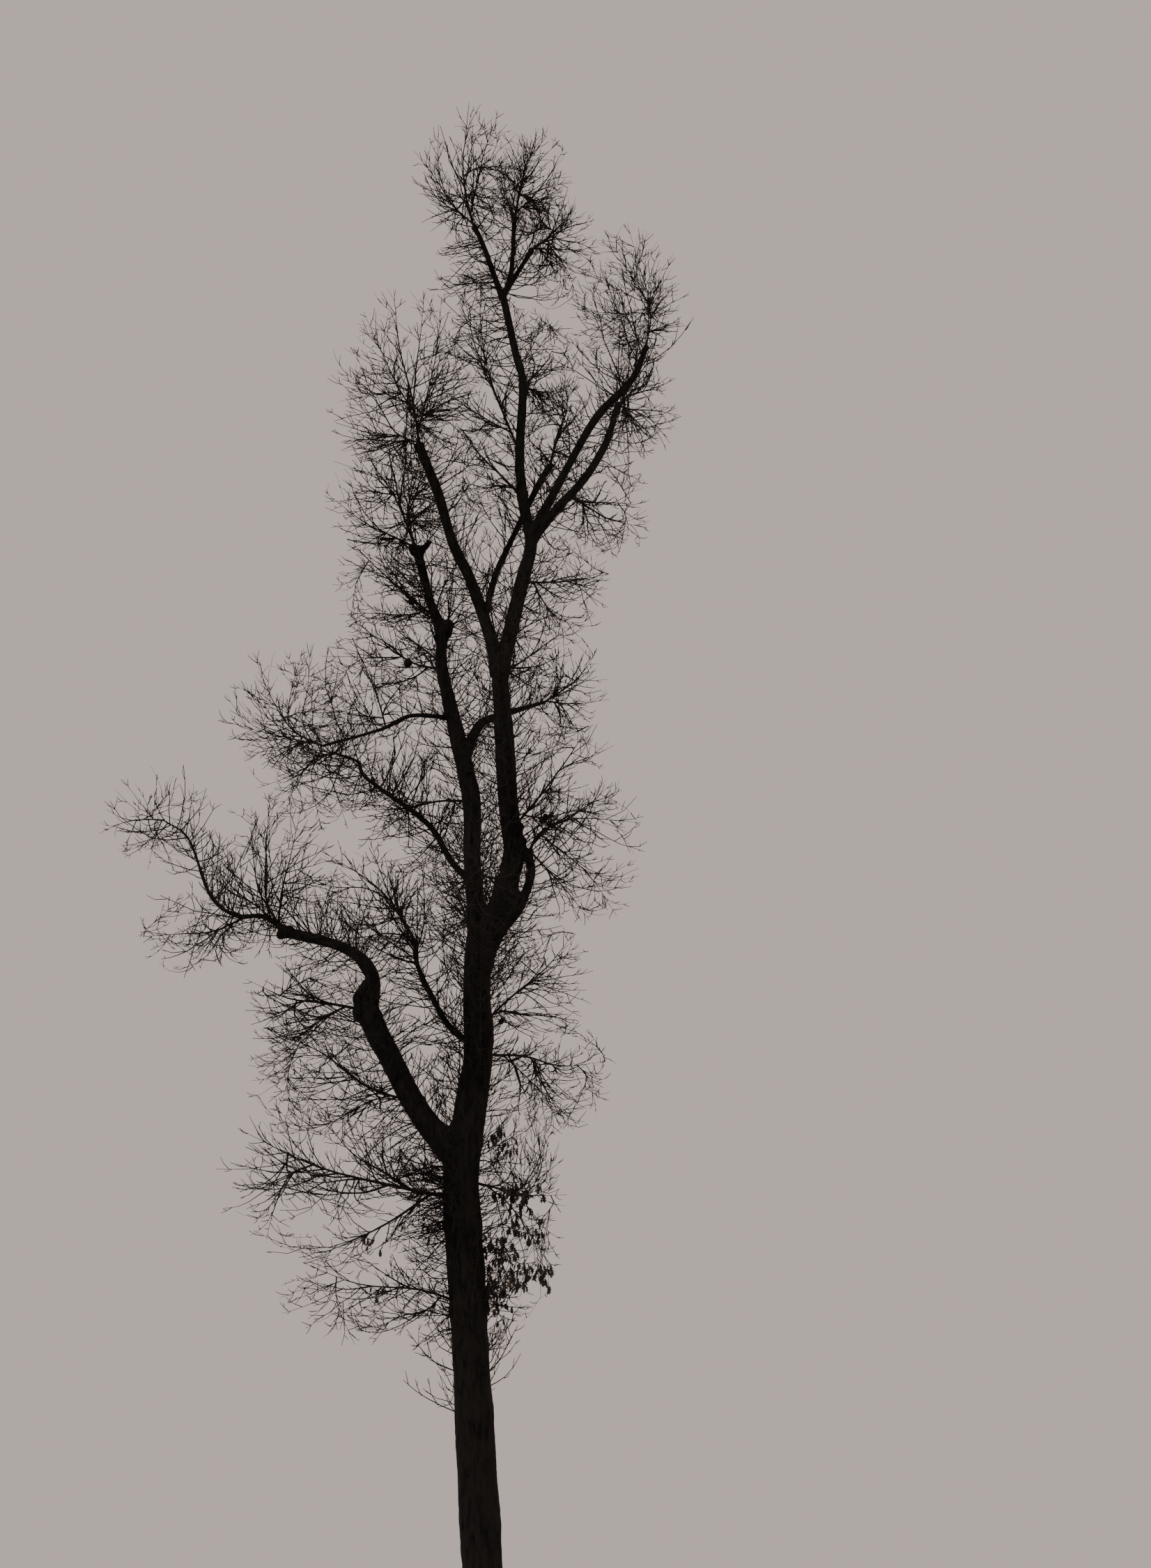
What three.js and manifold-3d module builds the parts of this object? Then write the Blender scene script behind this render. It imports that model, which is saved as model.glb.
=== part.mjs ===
// A tall broadleaf tree in winter. It was topped years ago, so its limbs end in knuckles,
// and fans of crooked twigs stand on them. Millimetres, +Z up, origin at the middle of the
// trunk's flat foot. The tree is seen from -Y, with +X to the right.
import * as THREE from "three";
import { mergeVertices } from "three/addons/utils/BufferGeometryUtils.js";
import Module from "manifold-3d";

const wasm = await Module();
wasm.setup();

// Driving dimensions. The tree is measured in metres, and modelled in millimetres.
const METRE = 1000;
const CLEARANCE = 0.00035; // gap between a piece and the neighbour that it was cut by
const TRUNK_SIDES = 20;
const LIMB_SIDES = 8;
const STEM_SIDES = 4;
const TWIG_SIDES = 3;
const LIMB_STEPS = 2; // rings for each stretch between two places of a limb's path
const STEM_BENDS = 3; // straight stretches in a mass's stem
const SHOOT_BENDS = 2; // straight stretches in a shoot

const ROOT_FLARE = { spread: 0.34, height: 0.32, lobes: 5, lobeDepth: 0.13, turn: 0.6 };

const STEM = {
  tipForks: [0.03, 0.3], // where stems fork from the first one, on a limb's tip
  sideForks: [0.1, 0.55], // the same, where a mass stands in the side of a limb
  spread: [0.35, 1.3], // radians between the first stem and its forks
  lift: 0.35, // how far a stem turns up to the light
  longest: 2.6,
  thinner: 0.75, // a fork's thickness, as a share of the first stem's
  taper: 0.8,
  leaving: [0.3, 0.15], // how far the first stem's bend follows its limb, and its own aim
  forkWider: 1.25, // how much wider than its aim a fork leaves the first stem
  forkDroop: -0.1,
  forkLeaving: [0.6, 0.4], // how much a fork's bend follows its own way, and the first stem's
  forkBow: 0.42,
  crook: 0.05,
};
const SHOOT = {
  from: 0.14, // nearest place on a stem, as a share of its length
  to: 0.96,
  berths: 8, // places on each stem that a shoot may leave it from
  fill: [0.7, 1.03], // share of the way to the edge of the space
  turning: 1.8, // how much a berth counts as farther when the shoot must turn from its stem
  steepFall: 0.5, // a way down that is steeper than this
  falling: 2, // makes its berth count as this much farther
  chance: 0.9, // how much farther than it is a berth may count by chance
  follow: 0.7, // how far a shoot first runs along its stem
  longest: 2.2,
  sag: 1.2,
  crook: 0.07,
  radius: [0.009, 0.004], // at the root: least, and more for each metre of length
  thinner: 0.85, // the most that its root may be, as a share of its stem's thickness
  thinnest: 0.006,
};
const SIDE_TWIG = {
  perMetre: 0.38,
  from: 0.3,
  to: 0.86,
  tilt: [0.6, 0.95],
  turnChance: 1.4,
  share: [0.26, 0.44], // of its shoot's length
  lift: 0.25,
  reach: 1.15, // how far out of its space it may run
  radius: [0.005, 0.006],
  thinner: 0.9,
};
const SHORTEST = { stem: 0.3, shoot: 0.25 };
const TWIG_GAP = 0.012; // least air between a twig and any limb or other mass
const GOLDEN_TURN = Math.PI * (3 - Math.sqrt(5));
const GOLDEN_SHARE = (Math.sqrt(5) - 1) / 2;
const EVEN_ROOT = 1.324717957244746; // x where x * x * x = x + 1: its powers spread pairs evenly
const STEEP = 0.9; // a line that rises more than this has its side taken from another axis

// Trunk and limbs, from the foot up. Each path runs from inside what carries it to its own
// tip, and each place on it is x, y, z and the radius there.
const limbs = [
  {
    name: "trunk",
    sides: TRUNK_SIDES,
    steps: 1,
    path: [
      [0, 0, 0, 0.4], [-0.01, 0, 0.22, 0.375], [-0.03, 0, 0.55, 0.355], [-0.07, 0, 1.3, 0.335],
      [-0.13, 0, 2.6, 0.326], [-0.38, 0, 6.7, 0.303], [-0.5, 0, 8.5, 0.3],
      [-0.47, 0, 9.2, 0.305], [-0.24, 0, 10.8, 0.24], [-0.27, 0, 11.7, 0.232],
      [-0.26, 0, 12.3, 0.243], [-0.2, 0, 12.85, 0.25], [-0.14, 0, 13.12, 0.19],
      [-0.12, 0, 13.24, 0.09],
    ],
  },
  {
    name: "left_bough_lower",
    path: [
      [-0.5, 0, 9.1, 0.22], [-1.13, 0.15, 9.77, 0.204], [-1.66, 0.4, 10.73, 0.195],
      [-2.05, 0.65, 11.53, 0.202], [-2.08, 0.75, 11.95, 0.151],
    ],
  },
  {
    name: "left_bough_elbow",
    path: [
      [-2.08, 0.75, 11.85, 0.131], [-2.03, 0.85, 12.2, 0.116], [-2.23, 0.95, 12.56, 0.11],
      [-2.7, 1.1, 12.84, 0.093], [-3.53, 1.3, 13.08, 0.094],
    ],
  },
  {
    name: "left_bough_tip",
    steps: 1,
    path: [
      [-3.48, 1.3, 13.07, 0.057], [-3.92, 1.4, 13.37, 0.049], [-4.38, 1.5, 13.4, 0.043],
      [-4.84, 1.6, 13.77, 0.038], [-5.25, 1.8, 14.78, 0.028], [-5.7, 1.9, 15.14, 0.023],
    ],
  },
  {
    name: "left_stem",
    path: [
      [-0.2, 0.05, 12.5, 0.17], [-0.35, 0.15, 13.81, 0.155], [-0.38, 0.3, 15.04, 0.157],
      [-0.51, 0.4, 15.74, 0.152], [-0.9, 0.5, 17.45, 0.109], [-0.91, 0.55, 18.1, 0.105],
      [-1.12, 0.65, 18.69, 0.075], [-1.35, 0.8, 19.6, 0.086],
    ],
  },
  {
    name: "right_stem",
    path: [
      [-0.24, -0.02, 12.1, 0.15], [-0.09, -0.05, 12.68, 0.21], [0.05, -0.1, 13.07, 0.222],
      [0.2, -0.15, 13.51, 0.205], [0.33, -0.2, 14.19, 0.178], [0.25, -0.28, 14.82, 0.17],
      [0.14, -0.4, 16.5, 0.151], [0.08, -0.45, 17.19, 0.149],
    ],
  },
  {
    name: "inner_stem",
    path: [
      [0.07, -0.4, 17.09, 0.112], [-0.08, -0.4, 17.78, 0.111], [-0.4, -0.45, 18.72, 0.099],
      [-0.7, -0.55, 19.34, 0.093], [-0.96, -0.75, 20.18, 0.082], [-1.25, -0.95, 20.89, 0.083],
    ],
  },
  {
    name: "leader_stem",
    path: [
      [0.09, -0.46, 17.08, 0.129], [0.46, -0.4, 18.73, 0.122], [0.6, -0.3, 19.42, 0.112],
      [0.48, -0.15, 20.14, 0.09], [0.4, 0, 21.04, 0.082], [0.45, 0.1, 22.35, 0.077],
      [0.31, 0.2, 23.02, 0.07], [0.09, 0.3, 24.09, 0.061],
    ],
  },
  {
    name: "bridge_limb",
    path: [
      [-0.51, 0.42, 15.9, 0.095], [-0.34, 0.7, 16.41, 0.082], [-0.11, 1, 16.7, 0.075],
      [0.81, 1.3, 17.07, 0.036],
    ],
  },
  {
    name: "cross_limb",
    path: [
      [-0.17, -0.4, 18.07, 0.062], [-0.03, -0.05, 18.82, 0.06], [0.13, 0.25, 19.34, 0.056],
      [0.66, 0.5, 20.58, 0.056], [0.91, 0.65, 21.08, 0.062],
    ],
  },
  {
    name: "top_left_arm",
    path: [
      [0.09, 0.3, 23.99, 0.054], [-0.25, 0.1, 24.91, 0.049], [-0.4, -0.1, 25.14, 0.052],
    ],
  },
  {
    name: "top_middle_arm",
    path: [
      [0.09, 0.29, 23.99, 0.05], [0.24, 0.45, 24.54, 0.048], [0.28, 0.6, 25.49, 0.045],
    ],
  },
  {
    name: "top_right_arm",
    path: [
      [0.09, 0.31, 23.99, 0.048], [0.32, 0.65, 24.55, 0.044], [0.59, 0.95, 25.13, 0.045],
    ],
  },
  {
    name: "upper_right_front_limb",
    steps: 1,
    path: [
      [0.58, -0.31, 19.5, 0.084], [1.26, -0.75, 20.69, 0.07], [1.71, -1.05, 21.4, 0.072],
      [2.27, -1.25, 21.95, 0.063], [2.53, -1.35, 22.51, 0.049],
    ],
  },
  {
    name: "upper_right_back_limb",
    path: [
      [0.6, -0.25, 19.45, 0.08], [1.04, 0.15, 20.17, 0.076], [1.5, 0.55, 20.82, 0.076],
      [1.88, 0.9, 21.59, 0.07], [2.07, 1.05, 22.29, 0.057],
    ],
  },
  {
    name: "upper_left_limb",
    path: [
      [-0.79, 0.45, 16.59, 0.048], [-1.39, -0.2, 16.46, 0.04], [-1.87, -0.7, 16.1, 0.036],
      [-2.78, -1.3, 15.68, 0.028],
    ],
  },
  {
    name: "middle_left_limb",
    steps: 1,
    path: [
      [-0.38, 0.15, 13.71, 0.068], [-0.73, 0.5, 14.14, 0.059], [-1.15, 0.9, 14.87, 0.053],
      [-2.19, 1.4, 15.75, 0.038], [-2.38, 1.55, 16.09, 0.034], [-2.8, 1.7, 16.28, 0.03],
    ],
  },
  {
    name: "lower_middle_limb",
    path: [
      [-0.26, -0.06, 10.9, 0.066], [-0.59, -0.45, 11.09, 0.057], [-0.82, -0.75, 11.34, 0.052],
      [-1.19, -1.2, 12.05, 0.046], [-1.23, -1.35, 12.44, 0.04],
    ],
  },
  {
    name: "knee_limb",
    path: [
      [-0.02, -0.1, 12.62, 0.07], [0.2, -0.14, 12.92, 0.084], [0.41, -0.16, 13.2, 0.086],
      [0.58, -0.16, 13.6, 0.08], [0.62, -0.16, 13.88, 0.078], [0.57, -0.17, 14.14, 0.066],
    ],
  },
  {
    name: "back_upper_limb",
    path: [
      [-0.3, 0.1, 13.3, 0.11], [-0.42, 0.9, 14.5, 0.1], [-0.5, 1.6, 15.9, 0.085],
      [-0.97, 2.3, 17.95, 0.07],
    ],
  },
  {
    name: "back_lower_limb",
    path: [
      [-0.42, 0.05, 9.6, 0.12], [-0.45, 1.1, 10.5, 0.1], [-0.35, 2, 11.8, 0.085],
      [-0.32, 2.7, 13.3, 0.072],
    ],
  },
  {
    name: "front_upper_limb",
    path: [
      [0.28, -0.15, 14.2, 0.1], [0.3, -0.9, 15, 0.085], [0.22, -1.6, 15.9, 0.07],
      [0.12, -2.1, 16.65, 0.066],
    ],
  },
  {
    name: "front_lower_limb",
    path: [
      [-0.3, -0.05, 10.3, 0.1], [-0.25, -1, 11.2, 0.085], [-0.22, -1.8, 12.3, 0.07],
      [-0.2, -2.2, 13.1, 0.066],
    ],
  },
];

// Masses of twigs. The first stem grows on from a share of its limb's length, which is 1 at
// the tip, and the others fork from it. Shoots fill the space, an ellipsoid given by its
// centre and its half sizes.
const masses = [
  {
    name: "twigs_top_left", limb: "top_left_arm", share: 1, thick: 0.025, stems: 4, shoots: 10,
    centre: [-0.4, -0.3, 25.9], half: [1.1, 1.35, 1.3],
  },
  {
    name: "twigs_top_middle", limb: "top_middle_arm", share: 1, thick: 0.024, stems: 4, shoots: 9,
    centre: [0.55, 0.6, 26.2], half: [0.76, 1.1, 1.08],
  },
  {
    name: "twigs_top_right", limb: "top_right_arm", share: 1, thick: 0.024, stems: 4, shoots: 7,
    centre: [1, 1.1, 25.31], half: [0.8, 1.3, 1.1],
  },
  {
    name: "twigs_leader_left", limb: "leader_stem", share: 0.58, thick: 0.024, stems: 3, shoots: 7,
    centre: [-0.25, -0.2, 22.8], half: [0.84, 1.2, 1.55],
  },
  {
    name: "twigs_leader_right", limb: "leader_stem", share: 0.7, thick: 0.022, stems: 3, shoots: 6,
    centre: [0.77, 0.8, 22.87], half: [0.68, 1.1, 1.1],
  },
  {
    name: "twigs_leader_low", limb: "leader_stem", share: 0.45, thick: 0.024, stems: 3, shoots: 5,
    centre: [-0.08, -0.5, 20.64], half: [0.68, 1.1, 1.06],
  },
  {
    name: "twigs_fork_right", limb: "upper_right_back_limb", share: 0.35, thick: 0.024,
    stems: 3, shoots: 5,
    centre: [1.75, 1.1, 20.45], half: [0.95, 1.2, 1.05],
  },
  {
    name: "twigs_upper_right_front", limb: "upper_right_front_limb", share: 1, thick: 0.014,
    stems: 4, shoots: 9,
    centre: [2.25, -1.4, 23.2], half: [1.05, 1.4, 1.42],
  },
  {
    name: "twigs_upper_right_back", limb: "upper_right_back_limb", share: 1, thick: 0.026,
    stems: 3, shoots: 7,
    centre: [2.32, 1.4, 22.44], half: [0.86, 1.2, 1.2],
  },
  {
    name: "twigs_cross_limb", limb: "cross_limb", share: 1, thick: 0.026, stems: 3, shoots: 6,
    centre: [1.02, 0.8, 21.82], half: [0.68, 1.1, 1.2],
  },
  {
    name: "twigs_inner_stem", limb: "inner_stem", share: 1, thick: 0.025, stems: 5, shoots: 11,
    centre: [-1.44, -1.1, 21.85], half: [1.45, 1.6, 1.75],
  },
  {
    name: "twigs_left_stem_top", limb: "left_stem", share: 1, thick: 0.029, stems: 4, shoots: 10,
    centre: [-1.69, 0.9, 20.58], half: [1.3, 1.5, 1.25],
  },
  {
    name: "twigs_left_stem_side", limb: "left_stem", share: 0.77, thick: 0.025, stems: 3, shoots: 6,
    centre: [-1.92, 0.1, 18.86], half: [0.85, 1.2, 0.95],
  },
  {
    name: "twigs_left_stem_low", limb: "left_stem", share: 0.57, thick: 0.024, stems: 3, shoots: 5,
    centre: [-1.87, 1.1, 17.83], half: [1.08, 1.3, 0.9],
  },
  {
    name: "twigs_upper_left_inner", limb: "upper_left_limb", share: 0.62, thick: 0.018,
    stems: 3, shoots: 4,
    centre: [-2.05, -1, 16.7], half: [1.1, 1.3, 0.85],
  },
  {
    name: "twigs_upper_left_outer", limb: "upper_left_limb", share: 1, thick: 0.017,
    stems: 4, shoots: 8,
    centre: [-3.25, -1.6, 16.15], half: [1.2, 1.3, 1.15],
  },
  {
    name: "twigs_middle_left", limb: "middle_left_limb", share: 1, thick: 0.018,
    stems: 4, shoots: 6,
    centre: [-2.96, 1.9, 16.08], half: [1.28, 1.4, 1.2],
  },
  {
    name: "twigs_middle_left_under", limb: "left_stem", share: 0.3, thick: 0.024,
    stems: 3, shoots: 6,
    centre: [-1.46, 1, 14.97], half: [1, 1.3, 1.35],
  },
  {
    name: "twigs_bough_tip", limb: "left_bough_tip", share: 1, thick: 0.016, stems: 4, shoots: 5,
    centre: [-5.8, 1.9, 15.1], half: [1.02, 1.1, 1],
  },
  {
    name: "twigs_bough_upper", limb: "left_bough_elbow", share: 1, thick: 0.028, stems: 4, shoots: 7,
    centre: [-3.68, 1.2, 14.1], half: [1.35, 1.6, 1.35],
  },
  {
    name: "twigs_bough_under", limb: "left_bough_tip", share: 0.33, thick: 0.022,
    stems: 3, shoots: 5,
    centre: [-4.88, 1, 12.99], half: [1.15, 1.2, 0.7],
  },
  {
    name: "twigs_knuckle", limb: "left_bough_lower", share: 0.8, thick: 0.031, stems: 4, shoots: 7,
    centre: [-3.02, 0.3, 11.65], half: [1.2, 1.4, 0.95],
  },
  {
    name: "twigs_bough_low", limb: "left_bough_lower", share: 0.33, thick: 0.025,
    stems: 3, shoots: 8,
    centre: [-2.7, -0.4, 10.4], half: [1.4, 1.5, 1.1],
  },
  {
    name: "twigs_trunk_left", limb: "trunk", share: 0.457, thick: 0.038, stems: 5, shoots: 8,
    centre: [-2.6, -0.9, 8.6], half: [1.9, 1.9, 1.35],
  },
  {
    name: "twigs_low_left", limb: "trunk", share: 0.385, thick: 0.025, stems: 3, shoots: 6,
    centre: [-2, -0.5, 6.8], half: [1.45, 1.4, 0.75],
  },
  {
    name: "twigs_lower_middle", limb: "lower_middle_limb", share: 1, thick: 0.022,
    stems: 4, shoots: 6,
    centre: [-1.93, -1.6, 12.92], half: [1.35, 1.4, 1.15],
  },
  {
    name: "twigs_bridge", limb: "bridge_limb", share: 1, thick: 0.021, stems: 3, shoots: 5,
    centre: [1.15, 1.6, 17.4], half: [0.8, 1.2, 0.95],
  },
  {
    name: "twigs_right_upper", limb: "leader_stem", share: 0.14, thick: 0.024, stems: 3, shoots: 6,
    centre: [1.15, -0.9, 18.48], half: [0.83, 1.2, 0.95],
  },
  {
    name: "twigs_right_limb", limb: "right_stem", share: 0.66, thick: 0.025, stems: 3, shoots: 5,
    centre: [1.14, 0.6, 15.6], half: [0.96, 1.3, 1.2],
  },
  {
    name: "twigs_knee", limb: "knee_limb", share: 1, thick: 0.028, stems: 4, shoots: 7,
    centre: [1.5, -0.8, 14.06], half: [1.05, 1.4, 1.3],
  },
  {
    name: "twigs_right_low", limb: "trunk", share: 0.646, thick: 0.025, stems: 3, shoots: 6,
    centre: [0.8, -0.9, 11.85], half: [0.88, 1.2, 1],
  },
  {
    name: "twigs_right_middle", limb: "trunk", share: 0.615, thick: 0.025, stems: 3, shoots: 6,
    centre: [1, 1, 10.6], half: [1.05, 1.4, 1],
  },
  {
    name: "twigs_leafy", limb: "trunk", share: 0.485, thick: 0.025, stems: 4, shoots: 6,
    centre: [0.52, 0.3, 8.45], half: [0.7, 1.2, 1.95],
  },
  {
    name: "twigs_back_upper", limb: "back_upper_limb", share: 1, thick: 0.028, stems: 4, shoots: 4,
    centre: [-1.1, 2.7, 19.3], half: [1.1, 1.6, 1.35],
  },
  {
    name: "twigs_back_lower", limb: "back_lower_limb", share: 1, thick: 0.028, stems: 3, shoots: 3,
    centre: [-0.3, 2.8, 13.6], half: [1.15, 1.5, 1.6],
  },
  {
    name: "twigs_front_upper", limb: "front_upper_limb", share: 1, thick: 0.027,
    stems: 3, shoots: 4,
    centre: [0.5, -2.3, 17.4], half: [0.95, 1.5, 1.25],
  },
  {
    name: "twigs_front_lower", limb: "front_lower_limb", share: 1, thick: 0.027,
    stems: 3, shoots: 3,
    centre: [-0.2, -2.3, 13.1], half: [1, 1.4, 1.6],
  },
];

const bark = new THREE.MeshStandardMaterial({ color: 0x3b332e, roughness: 0.95, metalness: 0 });
const twigBark = new THREE.MeshStandardMaterial({ color: 0x4a3d36, roughness: 0.9, metalness: 0 });

// A row of repeatable random numbers from 0 to 1.
function seeded(seed) {
  let state = seed >>> 0;
  return () => {
    state = (state + 0x6d2b79f5) >>> 0;
    let mixed = Math.imul(state ^ (state >>> 15), state | 1);
    mixed ^= mixed + Math.imul(mixed ^ (mixed >>> 7), mixed | 61);
    return ((mixed ^ (mixed >>> 14)) >>> 0) / 4294967296;
  };
}

function between([low, high], share) {
  return low + (high - low) * share;
}

// A smooth line through the places of a path, with the radius along it.
function smoothPath(path) {
  const curve = new THREE.CatmullRomCurve3(
    path.map(([x, y, z]) => new THREE.Vector3(x, y, z)), false, "catmullrom", 0.5);
  const stretches = path.length - 1;
  const radiusAt = (share) => {
    const first = Math.min(Math.floor(share * stretches), stretches - 1);
    return between([path[first][3], path[first + 1][3]], share * stretches - first);
  };
  return { curve, stretches, radiusAt };
}

// Places on a smooth line, steps for each of its stretches.
function placesAlong({ curve, stretches, radiusAt }, steps) {
  const count = stretches * steps;
  return Array.from({ length: count + 1 }, (_, i) => {
    return { point: curve.getPoint(i / count), radius: radiusAt(i / count) };
  });
}

// Side and up directions at each place, turned as little as possible from one to the next.
function framesAlong(places) {
  const last = places.length - 1;
  let side = null;
  return places.map((place, i) => {
    const before = places[Math.max(i - 1, 0)].point;
    const after = places[Math.min(i + 1, last)].point;
    const along = after.clone().sub(before).normalize();
    if (i === 0 && place.point.z === 0) {
      along.set(0, 0, 1);
    }
    if (side === null) {
      side = new THREE.Vector3(Math.abs(along.x) < STEEP ? 1 : 0, Math.abs(along.x) < STEEP ? 0 : 1, 0);
    }
    side = side.clone().addScaledVector(along, -side.dot(along)).normalize();
    return { side, along, up: side.clone().cross(along) };
  });
}

// A closed round limb: a cylinder, or a cone where the tip's radius is zero, bent onto its
// places. The outline lets the trunk's foot stand wider in some directions.
function limbGeometry(places, sides, outline = () => 1) {
  const rings = places.length - 1;
  const tip = places[rings].radius === 0 ? 0 : 1;
  const geometry = new THREE.CylinderGeometry(tip, 1, rings, sides, rings);
  const frames = framesAlong(places);
  const position = geometry.getAttribute("position");
  for (let i = 0; i < position.count; i += 1) {
    const x = position.getX(i);
    const z = position.getZ(i);
    const ring = Math.round(position.getY(i) + rings / 2);
    const { point, radius } = places[ring];
    const { side, up } = frames[ring];
    const reach = Math.hypot(x, z);
    const scale = reach > 1e-6 ? (radius * outline(point.z, Math.atan2(z, x))) / reach : 0;
    const bent = point.clone().addScaledVector(side, x * scale).addScaledVector(up, z * scale);
    position.setXYZ(i, bent.x * METRE, bent.y * METRE, bent.z * METRE);
  }
  geometry.deleteAttribute("normal");
  geometry.deleteAttribute("uv");
  return mergeVertices(geometry, 1e-3);
}

function rootFlare(height, angle) {
  const { spread, height: fall, lobes, lobeDepth, turn } = ROOT_FLARE;
  return 1 + Math.exp(-height / fall) * (spread + lobeDepth * Math.cos(lobes * angle + turn));
}

function solidOf(geometry) {
  return new wasm.Manifold(new wasm.Mesh({
    numProp: 3,
    vertProperties: new Float32Array(geometry.getAttribute("position").array),
    triVerts: new Uint32Array(geometry.index.array),
  }));
}

// The same limb, larger all round by the clearance, which cuts whatever grows from it.
function grownPlaces(places, sides) {
  const more = CLEARANCE / Math.cos(Math.PI / sides);
  const frames = framesAlong(places);
  const last = places.length - 1;
  return places.map(({ point, radius }, i) => {
    const shift = i === 0 ? -CLEARANCE : i === last ? CLEARANCE : 0;
    return { point: point.clone().addScaledVector(frames[i].along, shift), radius: radius + more };
  });
}

function boxesMeet(first, second) {
  const a = first.boundingBox();
  const b = second.boundingBox();
  return [0, 1, 2].every((axis) => a.min[axis] <= b.max[axis] && b.min[axis] <= a.max[axis]);
}

function largestPiece(solid) {
  return solid.decompose().reduce((best, piece) => (piece.volume() > best.volume() ? piece : best));
}

// Chains of round segments, which tell how near two twigs pass.
function segmentsOf(places) {
  return places.slice(1).map((place, i) => {
    return { from: places[i].point, to: place.point, radius: Math.max(places[i].radius, place.radius) };
  });
}

function distanceBetween(a, b) {
  const alongA = a.to.clone().sub(a.from);
  const alongB = b.to.clone().sub(b.from);
  const across = a.from.clone().sub(b.from);
  const lengthA = alongA.lengthSq();
  const lengthB = alongB.lengthSq();
  const both = alongA.dot(alongB);
  const offA = alongA.dot(across);
  const offB = alongB.dot(across);
  const spread = lengthA * lengthB - both * both;
  const clamp = THREE.MathUtils.clamp;
  let onA = spread > 1e-12 ? clamp((both * offB - offA * lengthB) / spread, 0, 1) : 0;
  const onB = clamp((both * onA + offB) / lengthB, 0, 1);
  onA = clamp((both * onB - offA) / lengthA, 0, 1);
  return across.addScaledVector(alongA, onA).addScaledVector(alongB, -onB).length();
}

function chainClear(chain, others) {
  return chain.every((a) => others.every((b) => {
    const near = a.radius + b.radius + TWIG_GAP;
    const reach = near + a.from.distanceTo(a.to) + b.from.distanceTo(b.to);
    return a.from.distanceTo(b.from) > reach || distanceBetween(a, b) > near;
  }));
}

// How far a line runs from a place until it leaves a mass's space, or zero where it misses it.
function wayOut({ centre, half }, point, direction) {
  const scaled = (v, i) => v / half[i];
  const start = point.toArray().map((v, i) => scaled(v - centre[i], i));
  const step = direction.toArray().map(scaled);
  const dot = (p, q) => p[0] * q[0] + p[1] * q[1] + p[2] * q[2];
  const middle = dot(start, step) / dot(step, step);
  const square = middle * middle + (1 - dot(start, start)) / dot(step, step);
  return square > 0 ? Math.max(Math.sqrt(square) - middle, 0) : 0;
}

// A direction that leans off a line by a tilt, turned round it, and lifted to the light.
function leaning(along, tilt, turn, lift) {
  const rest = Math.abs(along.z) < STEEP ? new THREE.Vector3(0, 0, 1) : new THREE.Vector3(1, 0, 0);
  const side = rest.clone().addScaledVector(along, -rest.dot(along)).normalize();
  const up = along.clone().cross(side);
  const direction = along.clone().multiplyScalar(Math.cos(tilt));
  direction.addScaledVector(side, Math.sin(tilt) * Math.cos(turn));
  direction.addScaledVector(up, Math.sin(tilt) * Math.sin(turn));
  direction.z += lift;
  return direction.normalize();
}

// A stem's smooth line: it leaves its root one way, turns to its aim, and is crooked between.
function bentLine(root, pull, aim, length, thick, random) {
  const arc = new THREE.QuadraticBezierCurve3(root, pull, root.clone().addScaledVector(aim, length));
  return smoothPath(Array.from({ length: STEM_BENDS + 1 }, (_, step) => {
    const part = step / STEM_BENDS;
    const bend = STEM.crook * length * Math.sin(Math.PI * part);
    const sway = new THREE.Vector3(random() * 2 - 1, random() * 2 - 1, random() * 2 - 1);
    const place = arc.getPoint(part).addScaledVector(sway, bend);
    return [...place.toArray(), thick * Math.pow(1 - part, STEM.taper)];
  }));
}

function towardsCentre(mass, root) {
  return new THREE.Vector3(...mass.centre).sub(root).normalize();
}

// The first stem goes on the way its limb points, then through the middle of the space.
function growFirstStem(mass, limb) {
  const random = seeded(mass.seed * 1000 + 999);
  const root = limb.curve.getPoint(mass.share);
  const aim = towardsCentre(mass, root);
  const out = mass.share === 1 ? limb.curve.getTangent(1) : aim.clone();
  aim.z += STEM.lift / 2;
  aim.normalize();
  const length = wayOut(mass, root, aim);
  const [onward, aside] = STEM.leaving;
  const pull = root.clone().addScaledVector(out, length * onward).addScaledVector(aim, length * aside);
  const line = bentLine(root, pull, aim, length, mass.thick, random);
  const hidden = mass.share === 1 ? 0 : limb.radiusAt(mass.share) / length;
  return { line, length, hidden, random };
}

// The other stems lean off the first one at widths that spread from one to the next.
function growFork(mass, first, number) {
  const forks = mass.share === 1 ? STEM.tipForks : STEM.sideForks;
  const onward = between(forks, (number - 1) / Math.max(mass.stems - 1, 1));
  const fork = first.hidden + (1 - first.hidden) * onward;
  const root = first.line.curve.getPoint(fork);
  const along = first.line.curve.getTangent(fork);
  const tilt = between(STEM.spread, (number * GOLDEN_SHARE) % 1);
  const turn = GOLDEN_TURN * number + first.random();
  const axis = towardsCentre(mass, root);
  const aim = leaning(axis, tilt, turn, STEM.lift);
  const [own, onto] = STEM.forkLeaving;
  const out = leaning(axis, tilt * STEM.forkWider, turn, STEM.forkDroop);
  out.multiplyScalar(own).addScaledVector(along, onto);
  const length = Math.min(wayOut(mass, root, aim), STEM.longest);
  const thick = mass.thick * STEM.thinner * (1 - fork / 2);
  const pull = root.clone().addScaledVector(out, length * STEM.forkBow);
  const line = bentLine(root, pull, aim, length, thick, first.random);
  return { line, length, hidden: 0 };
}

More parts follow.
